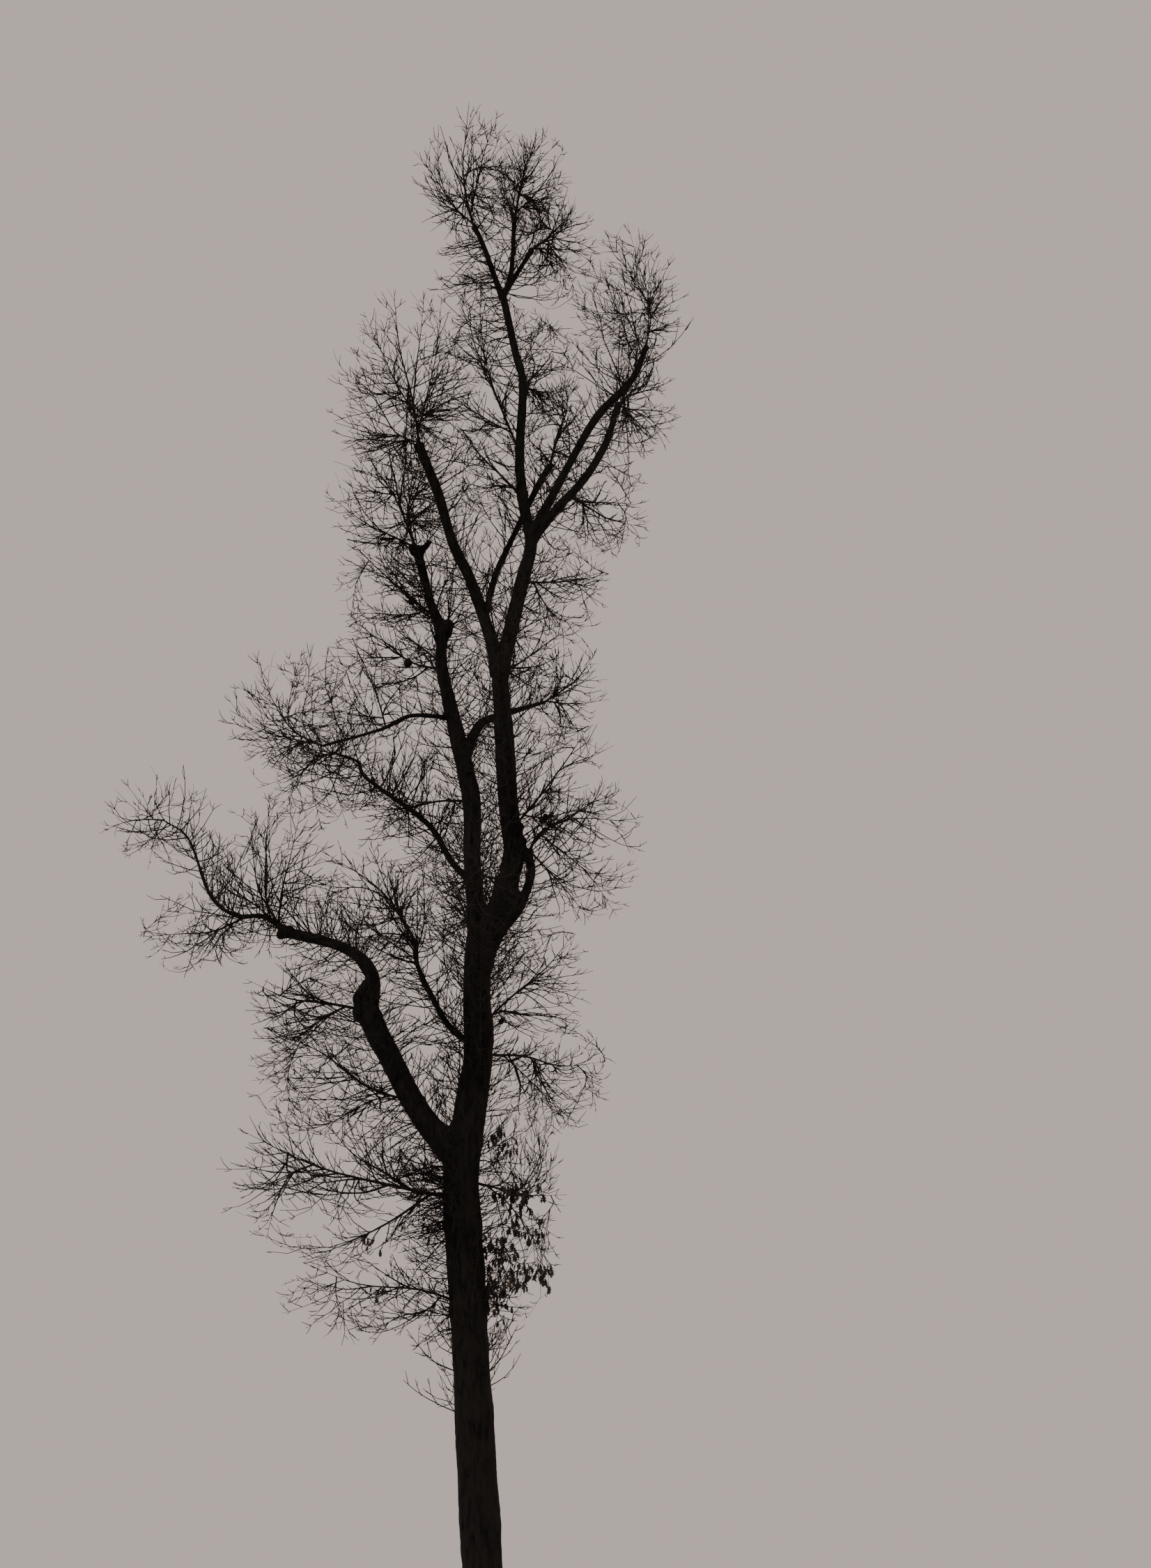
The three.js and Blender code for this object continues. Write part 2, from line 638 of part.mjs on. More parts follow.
// Evenly spread directions, however many are taken.
function spiralWay(number) {
  const tall = 1 - 2 * ((0.5 + number / EVEN_ROOT) % 1);
  const turn = 2 * Math.PI * ((0.5 + number / EVEN_ROOT ** 2) % 1);
  const flat = Math.sqrt(1 - tall * tall);
  return [flat * Math.cos(turn), flat * Math.sin(turn), tall];
}

// One main shoot: it aims at its own place near the edge of the space, and leaves the stems
// where the way there is short and turns little. It sags on the way, and its crook pushes it
// a little to one side.
function growShoot(mass, stems, number) {
  const random = seeded(mass.seed * 1000 + number);
  const fill = between(SHOOT.fill, random());
  const goal = new THREE.Vector3(
    ...spiralWay(number).map((value, i) => mass.centre[i] + mass.half[i] * value * fill));
  const berths = stems.flatMap(({ line, hidden }) => Array.from({ length: SHOOT.berths }, (_, i) => {
    const share = between(
      [hidden + (1 - hidden) * SHOOT.from, SHOOT.to], i / (SHOOT.berths - 1));
    const root = line.curve.getPoint(share);
    const along = line.curve.getTangent(share);
    const aim = goal.clone().sub(root);
    const far = aim.length();
    aim.normalize();
    const turn = 1 + SHOOT.turning * (1 - aim.dot(along));
    const fall = 1 + SHOOT.falling * Math.max(-aim.z - SHOOT.steepFall, 0);
    const cost = far * turn * fall * (1 + SHOOT.chance * random());
    return { root, along, aim, far, cost, thick: line.radiusAt(share) };
  }));
  const { root, along, aim, far, thick } = berths.reduce((best, each) => {
    return each.cost < best.cost ? each : best;
  });
  const length = Math.min(far, SHOOT.longest);
  const thickest = Math.max(thick * SHOOT.thinner, SHOOT.thinnest);
  const radius = Math.min(SHOOT.radius[0] + SHOOT.radius[1] * length, thickest);
  const bend = new THREE.Vector3(random() * 2 - 1, random() * 2 - 1, -SHOOT.sag);
  const out = aim.clone().addScaledVector(along, SHOOT.follow).normalize();
  const pull = root.clone().addScaledVector(out, length / 2);
  pull.addScaledVector(bend, SHOOT.crook * length * 2);
  const arc = new THREE.QuadraticBezierCurve3(root, pull, root.clone().addScaledVector(aim, length));
  const places = Array.from({ length: SHOOT_BENDS + 1 }, (_, step) => {
    const part = step / SHOOT_BENDS;
    return { point: arc.getPoint(part), radius: radius * (1 - part) };
  });
  return { places, length, random };
}

// A side twig is one straight cone from its shoot, to one side and then the other.
function growSideTwig(mass, shoot, number, count) {
  const { random } = shoot;
  const share = between([SIDE_TWIG.from, SIDE_TWIG.to], (number + random()) / count);
  const step = Math.min(Math.floor(share * SHOOT_BENDS), SHOOT_BENDS - 1);
  const [from, to] = [shoot.places[step], shoot.places[step + 1]];
  const onward = share * SHOOT_BENDS - step;
  const root = from.point.clone().lerp(to.point, onward);
  const along = to.point.clone().sub(from.point).normalize();
  const tilt = between(SIDE_TWIG.tilt, random());
  const turn = Math.PI * number + random() * SIDE_TWIG.turnChance;
  const direction = leaning(along, tilt, turn, SIDE_TWIG.lift);
  const length = Math.min(
    shoot.length * between(SIDE_TWIG.share, random()), wayOut(mass, root, direction) * SIDE_TWIG.reach);
  const thickest = between([from.radius, to.radius], onward) * SIDE_TWIG.thinner;
  const radius = Math.min(SIDE_TWIG.radius[0] + SIDE_TWIG.radius[1] * length, thickest);
  return [{ point: root, radius }, { point: root.clone().addScaledVector(direction, length), radius: 0 }];
}

// All the twigs of a mass that stay clear of the limbs and of the other masses.
function growTwigs(mass, stems, limbChains, takenChains) {
  const twigs = [];
  for (let number = 0; number < mass.shoots; number += 1) {
    const shoot = growShoot(mass, stems, number);
    const chain = segmentsOf(shoot.places);
    if (shoot.length < SHORTEST.shoot || !chainClear(chain.slice(1), limbChains)
      || !chainClear(chain, takenChains)) {
      continue;
    }
    twigs.push(shoot.places);
    const count = Math.round(shoot.length * SIDE_TWIG.perMetre);
    for (let side = 0; side < count; side += 1) {
      const places = growSideTwig(mass, shoot, side, count);
      const sideChain = segmentsOf(places);
      if (chainClear(sideChain, limbChains) && chainClear(sideChain, takenChains)) {
        twigs.push(places);
      }
    }
  }
  return twigs;
}

// A node at the foot of its piece, with the piece's faces measured from there.
function nodeOf(name, solid, material, foot) {
  const anchor = foot.slice(0, 3).map((value) => Math.round(value * METRE));
  const { vertProperties, triVerts } = solid.translate(anchor.map((value) => -value)).getMesh();
  const geometry = new THREE.BufferGeometry();
  geometry.setAttribute("position", new THREE.BufferAttribute(vertProperties, 3));
  geometry.setIndex(new THREE.BufferAttribute(triVerts, 1));
  geometry.computeVertexNormals();
  const mesh = new THREE.Mesh(geometry, material);
  mesh.name = name;
  mesh.position.set(...anchor);
  return mesh;
}

const group = new THREE.Group();

// Each limb is cut by those before it, so that it meets them with the clearance between.
const cutters = [];
const limbChains = [];
const limbLines = {};
for (const limb of limbs) {
  const { name, path, sides = LIMB_SIDES, steps = LIMB_STEPS } = limb;
  const outline = name === "trunk" ? rootFlare : undefined;
  const line = smoothPath(path);
  const places = placesAlong(line, steps);
  let solid = solidOf(limbGeometry(places, sides, outline));
  for (const cutter of cutters.filter((each) => boxesMeet(solid, each))) {
    solid = solid.subtract(cutter);
  }
  group.add(nodeOf(name, largestPiece(solid), bark, path[0]));
  cutters.push(solidOf(limbGeometry(grownPlaces(places, sides), sides, outline)));
  limbChains.push(...segmentsOf(places));
  limbLines[name] = line;
}

// Every mass's first stem is laid out, then its forks, then its shoots and their side twigs.
// Whatever comes later keeps clear of all that other masses have grown before it.
masses.forEach((mass, i) => {
  mass.seed = i + 1;
});
const stemPlaces = masses.map(() => []);
const stems = masses.map((mass, i) => {
  const first = growFirstStem(mass, limbLines[mass.limb]);
  stemPlaces[i].push(placesAlong(first.line, 1));
  return [first];
});
const chains = stemPlaces.map((places) => places.flatMap(segmentsOf));
const chainsOfOthers = (own) => chains.filter((_, i) => i !== own).flat();
masses.forEach((mass, i) => {
  const [first] = stems[i];
  const others = chainsOfOthers(i);
  for (let number = 1; number < mass.stems; number += 1) {
    const fork = growFork(mass, first, number);
    const places = placesAlong(fork.line, 1);
    const chain = segmentsOf(places);
    const clear = chainClear(chain.slice(1), limbChains) && chainClear(chain, others);
    if (fork.length > SHORTEST.stem && clear) {
      stems[i].push(fork);
      stemPlaces[i].push(places);
      chains[i].push(...chain);
    }
  }
});
masses.forEach((mass, i) => {
  const twigs = growTwigs(mass, stems[i], limbChains, chainsOfOthers(i));
  chains[i].push(...twigs.flatMap(segmentsOf));
  const pieces = [
    ...stemPlaces[i].map((places, j) => limbGeometry(places, j === 0 ? STEM_SIDES : TWIG_SIDES)),
    ...twigs.map((places) => limbGeometry(places, TWIG_SIDES)),
  ];
  let solid = pieces.map(solidOf).reduce((joined, piece) => joined.add(piece));
  for (const cutter of cutters.filter((each) => boxesMeet(solid, each))) {
    solid = solid.subtract(cutter);
  }
  const foot = limbLines[mass.limb].curve.getPoint(mass.share);
  group.add(nodeOf(mass.name, largestPiece(solid), twigBark, foot.toArray()));
});

export default group;
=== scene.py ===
# A tall broadleaf tree in winter, topped long ago: bark, fans of crooked twigs and a few
# withered leaves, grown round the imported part. Metres, +Z up, the foot of the trunk at the
# origin, seen from -Y.
import math

import bpy
import numpy as np
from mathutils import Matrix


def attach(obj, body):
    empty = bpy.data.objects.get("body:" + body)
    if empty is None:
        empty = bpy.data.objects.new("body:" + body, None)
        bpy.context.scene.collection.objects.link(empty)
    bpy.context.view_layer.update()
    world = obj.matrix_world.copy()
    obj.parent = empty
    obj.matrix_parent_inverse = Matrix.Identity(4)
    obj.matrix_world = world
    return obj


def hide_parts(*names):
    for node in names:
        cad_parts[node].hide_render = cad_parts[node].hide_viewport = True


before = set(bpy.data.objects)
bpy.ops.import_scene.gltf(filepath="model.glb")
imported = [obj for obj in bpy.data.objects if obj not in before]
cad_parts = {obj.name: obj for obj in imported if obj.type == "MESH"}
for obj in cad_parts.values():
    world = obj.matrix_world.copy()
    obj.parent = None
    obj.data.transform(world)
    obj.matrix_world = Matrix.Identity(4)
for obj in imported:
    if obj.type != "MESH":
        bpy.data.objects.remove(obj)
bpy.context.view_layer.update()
body = "root"
goldenTurn = math.pi * (3 - math.sqrt(5))
goldenShare = 0.618034
evenSteps = (0.7548777, 0.5698403)  # steps that spread pairs of shares evenly
seeds = dict(perMass=1000, stems=999, limbShoots=5000, thickets=7000, burrs=9000, sprouts=99,
             kinks=7, leaves=21)

# Trunk and limbs as the part has them: x, y, z and the radius at each place.
limbs = {
    "trunk": [
        (0, 0, 0, 0.4), (-0.01, 0, 0.22, 0.375), (-0.03, 0, 0.55, 0.355), (-0.07, 0, 1.3, 0.335),
        (-0.13, 0, 2.6, 0.326), (-0.38, 0, 6.7, 0.303), (-0.5, 0, 8.5, 0.3), (-0.47, 0, 9.2, 0.305),
        (-0.24, 0, 10.8, 0.24), (-0.27, 0, 11.7, 0.232), (-0.26, 0, 12.3, 0.243),
        (-0.2, 0, 12.85, 0.25), (-0.14, 0, 13.12, 0.19), (-0.12, 0, 13.24, 0.09)],
    "left_bough_lower": [
        (-0.5, 0, 9.1, 0.22), (-1.13, 0.15, 9.77, 0.204), (-1.66, 0.4, 10.73, 0.195),
        (-2.05, 0.65, 11.53, 0.202), (-2.08, 0.75, 11.95, 0.151)],
    "left_bough_elbow": [
        (-2.08, 0.75, 11.85, 0.131), (-2.03, 0.85, 12.2, 0.116), (-2.23, 0.95, 12.56, 0.11),
        (-2.7, 1.1, 12.84, 0.093), (-3.53, 1.3, 13.08, 0.094)],
    "left_bough_tip": [
        (-3.48, 1.3, 13.07, 0.057), (-3.92, 1.4, 13.37, 0.049), (-4.38, 1.5, 13.4, 0.043),
        (-4.84, 1.6, 13.77, 0.038), (-5.25, 1.8, 14.78, 0.028), (-5.7, 1.9, 15.14, 0.023)],
    "left_stem": [
        (-0.2, 0.05, 12.5, 0.17), (-0.35, 0.15, 13.81, 0.155), (-0.38, 0.3, 15.04, 0.157),
        (-0.51, 0.4, 15.74, 0.152), (-0.9, 0.5, 17.45, 0.109), (-0.91, 0.55, 18.1, 0.105),
        (-1.12, 0.65, 18.69, 0.075), (-1.35, 0.8, 19.6, 0.086)],
    "right_stem": [
        (-0.24, -0.02, 12.1, 0.15), (-0.09, -0.05, 12.68, 0.21), (0.05, -0.1, 13.07, 0.222),
        (0.2, -0.15, 13.51, 0.205), (0.33, -0.2, 14.19, 0.178), (0.25, -0.28, 14.82, 0.17),
        (0.14, -0.4, 16.5, 0.151), (0.08, -0.45, 17.19, 0.149)],
    "inner_stem": [
        (0.07, -0.4, 17.09, 0.112), (-0.08, -0.4, 17.78, 0.111), (-0.4, -0.45, 18.72, 0.099),
        (-0.7, -0.55, 19.34, 0.093), (-0.96, -0.75, 20.18, 0.082), (-1.25, -0.95, 20.89, 0.083)],
    "leader_stem": [
        (0.09, -0.46, 17.08, 0.129), (0.46, -0.4, 18.73, 0.122), (0.6, -0.3, 19.42, 0.112),
        (0.48, -0.15, 20.14, 0.09), (0.4, 0, 21.04, 0.082), (0.45, 0.1, 22.35, 0.077),
        (0.31, 0.2, 23.02, 0.07), (0.09, 0.3, 24.09, 0.061)],
    "bridge_limb": [
        (-0.51, 0.42, 15.9, 0.095), (-0.34, 0.7, 16.41, 0.082), (-0.11, 1, 16.7, 0.075),
        (0.81, 1.3, 17.07, 0.036)],
    "cross_limb": [
        (-0.17, -0.4, 18.07, 0.062), (-0.03, -0.05, 18.82, 0.06), (0.13, 0.25, 19.34, 0.056),
        (0.66, 0.5, 20.58, 0.056), (0.91, 0.65, 21.08, 0.062)],
    "top_left_arm": [
        (0.09, 0.3, 23.99, 0.054), (-0.25, 0.1, 24.91, 0.049), (-0.4, -0.1, 25.14, 0.052)],
    "top_middle_arm": [
        (0.09, 0.29, 23.99, 0.05), (0.24, 0.45, 24.54, 0.048), (0.28, 0.6, 25.49, 0.045)],
    "top_right_arm": [
        (0.09, 0.31, 23.99, 0.048), (0.32, 0.65, 24.55, 0.044), (0.59, 0.95, 25.13, 0.045)],
    "upper_right_front_limb": [
        (0.58, -0.31, 19.5, 0.084), (1.26, -0.75, 20.69, 0.07), (1.71, -1.05, 21.4, 0.072),
        (2.27, -1.25, 21.95, 0.063), (2.53, -1.35, 22.51, 0.049)],
    "upper_right_back_limb": [
        (0.6, -0.25, 19.45, 0.08), (1.04, 0.15, 20.17, 0.076), (1.5, 0.55, 20.82, 0.076),
        (1.88, 0.9, 21.59, 0.07), (2.07, 1.05, 22.29, 0.057)],
    "upper_left_limb": [
        (-0.79, 0.45, 16.59, 0.048), (-1.39, -0.2, 16.46, 0.04), (-1.87, -0.7, 16.1, 0.036),
        (-2.78, -1.3, 15.68, 0.028)],
    "middle_left_limb": [
        (-0.38, 0.15, 13.71, 0.068), (-0.73, 0.5, 14.14, 0.059), (-1.15, 0.9, 14.87, 0.053),
        (-2.19, 1.4, 15.75, 0.038), (-2.38, 1.55, 16.09, 0.034), (-2.8, 1.7, 16.28, 0.03)],
    "lower_middle_limb": [
        (-0.26, -0.06, 10.9, 0.066), (-0.59, -0.45, 11.09, 0.057), (-0.82, -0.75, 11.34, 0.052),
        (-1.19, -1.2, 12.05, 0.046), (-1.23, -1.35, 12.44, 0.04)],
    "knee_limb": [
        (-0.02, -0.1, 12.62, 0.07), (0.2, -0.14, 12.92, 0.084), (0.41, -0.16, 13.2, 0.086),
        (0.58, -0.16, 13.6, 0.08), (0.62, -0.16, 13.88, 0.078), (0.57, -0.17, 14.14, 0.066)],
    "back_upper_limb": [
        (-0.3, 0.1, 13.3, 0.11), (-0.42, 0.9, 14.5, 0.1), (-0.5, 1.6, 15.9, 0.085),
        (-0.97, 2.3, 17.95, 0.07)],
    "back_lower_limb": [
        (-0.42, 0.05, 9.6, 0.12), (-0.45, 1.1, 10.5, 0.1), (-0.35, 2, 11.8, 0.085),
        (-0.32, 2.7, 13.3, 0.072)],
    "front_upper_limb": [
        (0.28, -0.15, 14.2, 0.1), (0.3, -0.9, 15, 0.085), (0.22, -1.6, 15.9, 0.07),
        (0.12, -2.1, 16.65, 0.066)],
    "front_lower_limb": [
        (-0.3, -0.05, 10.3, 0.1), (-0.25, -1, 11.2, 0.085), (-0.22, -1.8, 12.3, 0.07),
        (-0.2, -2.2, 13.1, 0.066)],
}
rootFlare = dict(spread=0.34, height=0.32, lobes=5, lobeDepth=0.13, turn=0.6)
# Masses of twigs: the limb that carries the first stem and the share of its length where it
# stands, that stem's thickness, the stems and shoots in the part, the space's centre and half
# sizes, and how full the mass is next to the others.
massFields = ("limb", "share", "thick", "stems", "shoots", "centre", "half", "full")
massRows = {
    "twigs_top_left": ("top_left_arm", 1, 0.025, 4, 10, (-0.4, -0.3, 25.9), (1.1, 1.35, 1.3), 0.92),
    "twigs_top_middle": ("top_middle_arm", 1, 0.024, 4, 9, (0.55, 0.6, 26.2), (0.76, 1.1, 1.08), 1.35),
    "twigs_top_right": ("top_right_arm", 1, 0.024, 4, 7, (1, 1.1, 25.31), (0.8, 1.3, 1.1), 1),
    "twigs_leader_left": ("leader_stem", 0.58, 0.024, 3, 7,
        (-0.25, -0.2, 22.8), (0.84, 1.2, 1.55), 0.8),
    "twigs_leader_right": ("leader_stem", 0.7, 0.022, 3, 6, (0.77, 0.8, 22.87), (0.68, 1.1, 1.1), 1.15),
    "twigs_leader_low": ("leader_stem", 0.45, 0.024, 3, 5, (-0.08, -0.5, 20.64), (0.68, 1.1, 1.06), 1),
    "twigs_fork_right": ("upper_right_back_limb", 0.35, 0.024, 3, 5,
        (1.75, 1.1, 20.45), (0.95, 1.2, 1.05), 1),
    "twigs_upper_right_front": ("upper_right_front_limb", 1, 0.014, 4, 9,
        (2.25, -1.4, 23.2), (1.05, 1.4, 1.42), 1.35),
    "twigs_upper_right_back": ("upper_right_back_limb", 1, 0.026, 3, 7,
        (2.32, 1.4, 22.44), (0.86, 1.2, 1.2), 0.85),
    "twigs_cross_limb": ("cross_limb", 1, 0.026, 3, 6, (1.02, 0.8, 21.82), (0.68, 1.1, 1.2), 1),
    "twigs_inner_stem": ("inner_stem", 1, 0.025, 5, 11, (-1.44, -1.1, 21.85), (1.45, 1.6, 1.75), 1.1),
    "twigs_left_stem_top": ("left_stem", 1, 0.029, 4, 10, (-1.69, 0.9, 20.58), (1.3, 1.5, 1.25), 1.2),
    "twigs_left_stem_side": ("left_stem", 0.77, 0.025, 3, 6, (-1.92, 0.1, 18.86), (0.85, 1.2, 0.95), 1),
    "twigs_left_stem_low": ("left_stem", 0.57, 0.024, 3, 5, (-1.87, 1.1, 17.83), (1.08, 1.3, 0.9), 0.7),
    "twigs_upper_left_inner": ("upper_left_limb", 0.62, 0.018, 3, 4,
        (-2.05, -1, 16.7), (1.1, 1.3, 0.85), 1.2),
    "twigs_upper_left_outer": ("upper_left_limb", 1, 0.017, 4, 8,
        (-3.25, -1.6, 16.15), (1.2, 1.3, 1.15), 1.15),
    "twigs_middle_left": ("middle_left_limb", 1, 0.018, 4, 6,
        (-2.96, 1.9, 16.08), (1.28, 1.4, 1.2), 1.1),
    "twigs_middle_left_under": ("left_stem", 0.3, 0.024, 3, 6, (-1.46, 1, 14.97), (1, 1.3, 1.35), 0.5),
    "twigs_bough_tip": ("left_bough_tip", 1, 0.016, 4, 5, (-5.8, 1.9, 15.1), (1.02, 1.1, 1), 0.5),
    "twigs_bough_upper": ("left_bough_elbow", 1, 0.028, 4, 7,
        (-3.68, 1.2, 14.1), (1.35, 1.6, 1.35), 0.7),
    "twigs_bough_under": ("left_bough_tip", 0.33, 0.022, 3, 5, (-4.88, 1, 12.99), (1.15, 1.2, 0.7), 1),
    "twigs_knuckle": ("left_bough_lower", 0.8, 0.031, 4, 7, (-3.02, 0.3, 11.65), (1.2, 1.4, 0.95), 0.8),
    "twigs_bough_low": ("left_bough_lower", 0.33, 0.025, 3, 8,
        (-2.7, -0.4, 10.4), (1.4, 1.5, 1.1), 1.15),
    "twigs_trunk_left": ("trunk", 0.457, 0.038, 5, 8, (-2.6, -0.9, 8.6), (1.9, 1.9, 1.35), 0.9),
    "twigs_low_left": ("trunk", 0.385, 0.025, 3, 6, (-2, -0.5, 6.8), (1.45, 1.4, 0.75), 0.9),
    "twigs_lower_middle": ("lower_middle_limb", 1, 0.022, 4, 6,
        (-1.93, -1.6, 12.92), (1.35, 1.4, 1.15), 1.2),
    "twigs_bridge": ("bridge_limb", 1, 0.021, 3, 5, (1.15, 1.6, 17.4), (0.8, 1.2, 0.95), 1),
    "twigs_right_upper": ("leader_stem", 0.14, 0.024, 3, 6,
        (1.15, -0.9, 18.48), (0.83, 1.2, 0.95), 0.85),
    "twigs_right_limb": ("right_stem", 0.66, 0.025, 3, 5, (1.14, 0.6, 15.6), (0.96, 1.3, 1.2), 1),
    "twigs_knee": ("knee_limb", 1, 0.028, 4, 7, (1.5, -0.8, 14.06), (1.05, 1.4, 1.3), 1),
    "twigs_right_low": ("trunk", 0.646, 0.025, 3, 6, (0.8, -0.9, 11.85), (0.88, 1.2, 1), 0.8),
    "twigs_right_middle": ("trunk", 0.615, 0.025, 3, 6, (1, 1, 10.6), (1.05, 1.4, 1), 1.15),
    "twigs_leafy": ("trunk", 0.485, 0.025, 4, 6, (0.52, 0.3, 8.45), (0.7, 1.2, 1.95), 1),
    "twigs_back_upper": ("back_upper_limb", 1, 0.028, 4, 4, (-1.1, 2.7, 19.3), (1.1, 1.6, 1.35), 1.7),
    "twigs_back_lower": ("back_lower_limb", 1, 0.028, 3, 3, (-0.3, 2.8, 13.6), (1.15, 1.5, 1.6), 2),
    "twigs_front_upper": ("front_upper_limb", 1, 0.027, 3, 4,
        (0.5, -2.3, 17.4), (0.95, 1.5, 1.25), 1.3),
    "twigs_front_lower": ("front_lower_limb", 1, 0.027, 3, 3, (-0.2, -2.3, 13.1), (1, 1.4, 1.6), 1.6),
}
masses = {name: dict(zip(massFields, row)) for name, row in massRows.items()}
for mass in masses.values():
    mass["space"] = (mass["centre"], mass["half"])


def seeded(seed):
    # the part's row of repeatable random numbers from 0 to 1
    whole = 0xFFFFFFFF
    state = seed & whole
    while True:
        state = (state + 0x6D2B79F5) & whole
        mixed = ((state ^ (state >> 15)) * (state | 1)) & whole
        mixed ^= (mixed + (((mixed ^ (mixed >> 7)) * (mixed | 61)) & whole)) & whole
        yield ((mixed ^ (mixed >> 14)) & whole) / (whole + 1)


def between(pair, share):
    return pair[0] + (pair[1] - pair[0]) * share


def sway(random):
    return np.array([next(random) * 2 - 1 for _ in range(3)])


finely = np.linspace(0, 1, 61)  # the shares of a line that its length is measured at


class Line:
    # a smooth line through the places of a path, with the radius along it
    def __init__(self, path):
        self.places = np.array([place[:3] for place in path], float)
        self.radii = [place[3] for place in path]
        self.stretches = len(path) - 1

    def at(self, share):
        onward = share * self.stretches
        first = min(int(onward), self.stretches - 1)
        t = onward - first
        places = self.places
        start, end = places[first], places[first + 1]
        before = places[first - 1] if first else 2 * start - end
        after = places[first + 2] if first + 2 <= self.stretches else 2 * end - start
        leave, arrive = 0.5 * (end - before), 0.5 * (after - start)
        square = -3 * start + 3 * end - 2 * leave - arrive
        cube = 2 * start - 2 * end + leave + arrive
        return start + leave * t + square * t * t + cube * t ** 3

    def radius(self, share):
        onward = share * self.stretches
        first = min(int(onward), self.stretches - 1)
        return between((self.radii[first], self.radii[first + 1]), onward - first)

    def along(self, share):
        step = 1e-4
        way = self.at(min(share + step, 1)) - self.at(max(share - step, 0))
        return way / np.linalg.norm(way)

    def travelled(self, shares):
        # how far along the line each of these shares lies
        places = np.array([self.at(share) for share in shares])
        steps = np.linalg.norm(np.diff(places, axis=0), axis=1)
        return np.concatenate([[0], np.cumsum(steps)])

    def length(self):
        return self.travelled(finely)[-1]

    def evenShares(self, first, last, parts):
        # shares that lie evenly along the line's length
        travelled = self.travelled(finely)
        return np.interp((first + (last - first) * np.array(parts)) * travelled[-1], travelled, finely)


def unit(rows):
    return rows / np.maximum(np.linalg.norm(rows, axis=-1, keepdims=True), 1e-9)


steepest = 0.9  # a line that rises more than this has its side taken from another axis


def leaningAll(along, tilt, turn, lift):
    # directions that lean off lines by a tilt, turned round them, and lifted to the light
    steep = np.abs(along[:, 2]) >= steepest
    rest = np.where(steep[:, None], np.array([1.0, 0, 0]), np.array([0, 0, 1.0]))
    side = unit(rest - along * (rest * along).sum(1, keepdims=True))
    up = np.cross(along, side)
    cosine, sine = np.cos(tilt)[:, None], np.sin(tilt)[:, None]
    way = along * cosine + (side * np.cos(turn)[:, None] + up * np.sin(turn)[:, None]) * sine
    way[:, 2] += lift
    return unit(way)


def leaning(along, tilt, turn, lift):
    return leaningAll(along[None], np.array([tilt]), np.array([turn]), lift)[0]


def wayOutAll(space, point, direction):
    # how far lines run until they leave a mass's space, or zero where they miss it
    centre, half = np.array(space[0]), np.array(space[1])
    start, step = (point - centre) / half, direction / half
    size = (step * step).sum(1)
    middle = (start * step).sum(1) / size
    square = middle * middle + (1 - (start * start).sum(1)) / size
    return np.where(square > 0, np.maximum(np.sqrt(np.maximum(square, 0)) - middle, 0), 0)


def wayOut(space, point, direction):
    return wayOutAll(space, point[None], direction[None])[0]


class Twigs:
    # many twigs as arcs: root, pull and end places, root radius and length
    def __init__(self, root, pull, end, radius, length):
        self.root, self.pull, self.end = root, pull, end
        self.radius, self.length = radius, length

    def at(self, which, share):
        t = share[:, None]
        start, middle = self.root[which] * (1 - t) ** 2, self.pull[which] * 2 * t * (1 - t)
        return start + middle + self.end[which] * t * t

    def along(self, which, share):
        t = share[:, None]
        first, second = self.pull[which] - self.root[which], self.end[which] - self.pull[which]
        return unit(first * (1 - t) + second * t)


def twigsOf(rows):
    columns = [np.array([row[i] for row in rows]) for i in range(5)]
    return Twigs(*columns)


def joinedTwigs(groups):
    names = ("root", "pull", "end", "radius", "length")
    return Twigs(*[np.concatenate([getattr(group, name) for group in groups]) for name in names])


# How the part's stems and shoots grow, with more of them here.
stemRule = dict(
    tipForks=(0.03, 0.3), sideForks=(0.1, 0.55),  # where stems fork from the first one
    spread=(0.35, 1.3), lift=0.35, longest=2.6, shortest=0.3, thinner=0.75, taper=0.8,
    leaving=(0.3, 0.15),  # how far the first stem's bend follows its limb, and its own aim
    forkWider=1.25, forkDroop=-0.1, forkBow=0.42,
    forkLeaving=(0.6, 0.4),  # how much a fork's bend follows its own way, and the first stem's
    crook=0.05, bends=3, more=3)  # so many more than in the part
shootRule = dict(
    first=0.14, last=0.96, berths=8,  # places on each stem that a shoot may leave it from
    fill=(0.7, 1.03),  # share of the way to the edge of the space
    turning=1.8, steepFall=0.5, falling=2, chance=0.9,  # what makes a berth count as farther
    follow=0.7, longest=2.2, shortest=0.2, sag=1.2, crook=0.07,
    radius=(0.0094, 0.004), thinner=0.85, thinnest=0.006, more=13.5)  # for each one in the part


def bentLine(root, pull, aim, length, thick, random):
    rule = stemRule
    end = root + aim * length
    path = []
    for step in range(rule["bends"] + 1):
        part = step / rule["bends"]
        bend = rule["crook"] * length * math.sin(math.pi * part)
        place = root * (1 - part) ** 2 + pull * 2 * part * (1 - part) + end * part * part
        path.append((*(place + sway(random) * bend), thick * (1 - part) ** rule["taper"]))
    return Line(path)


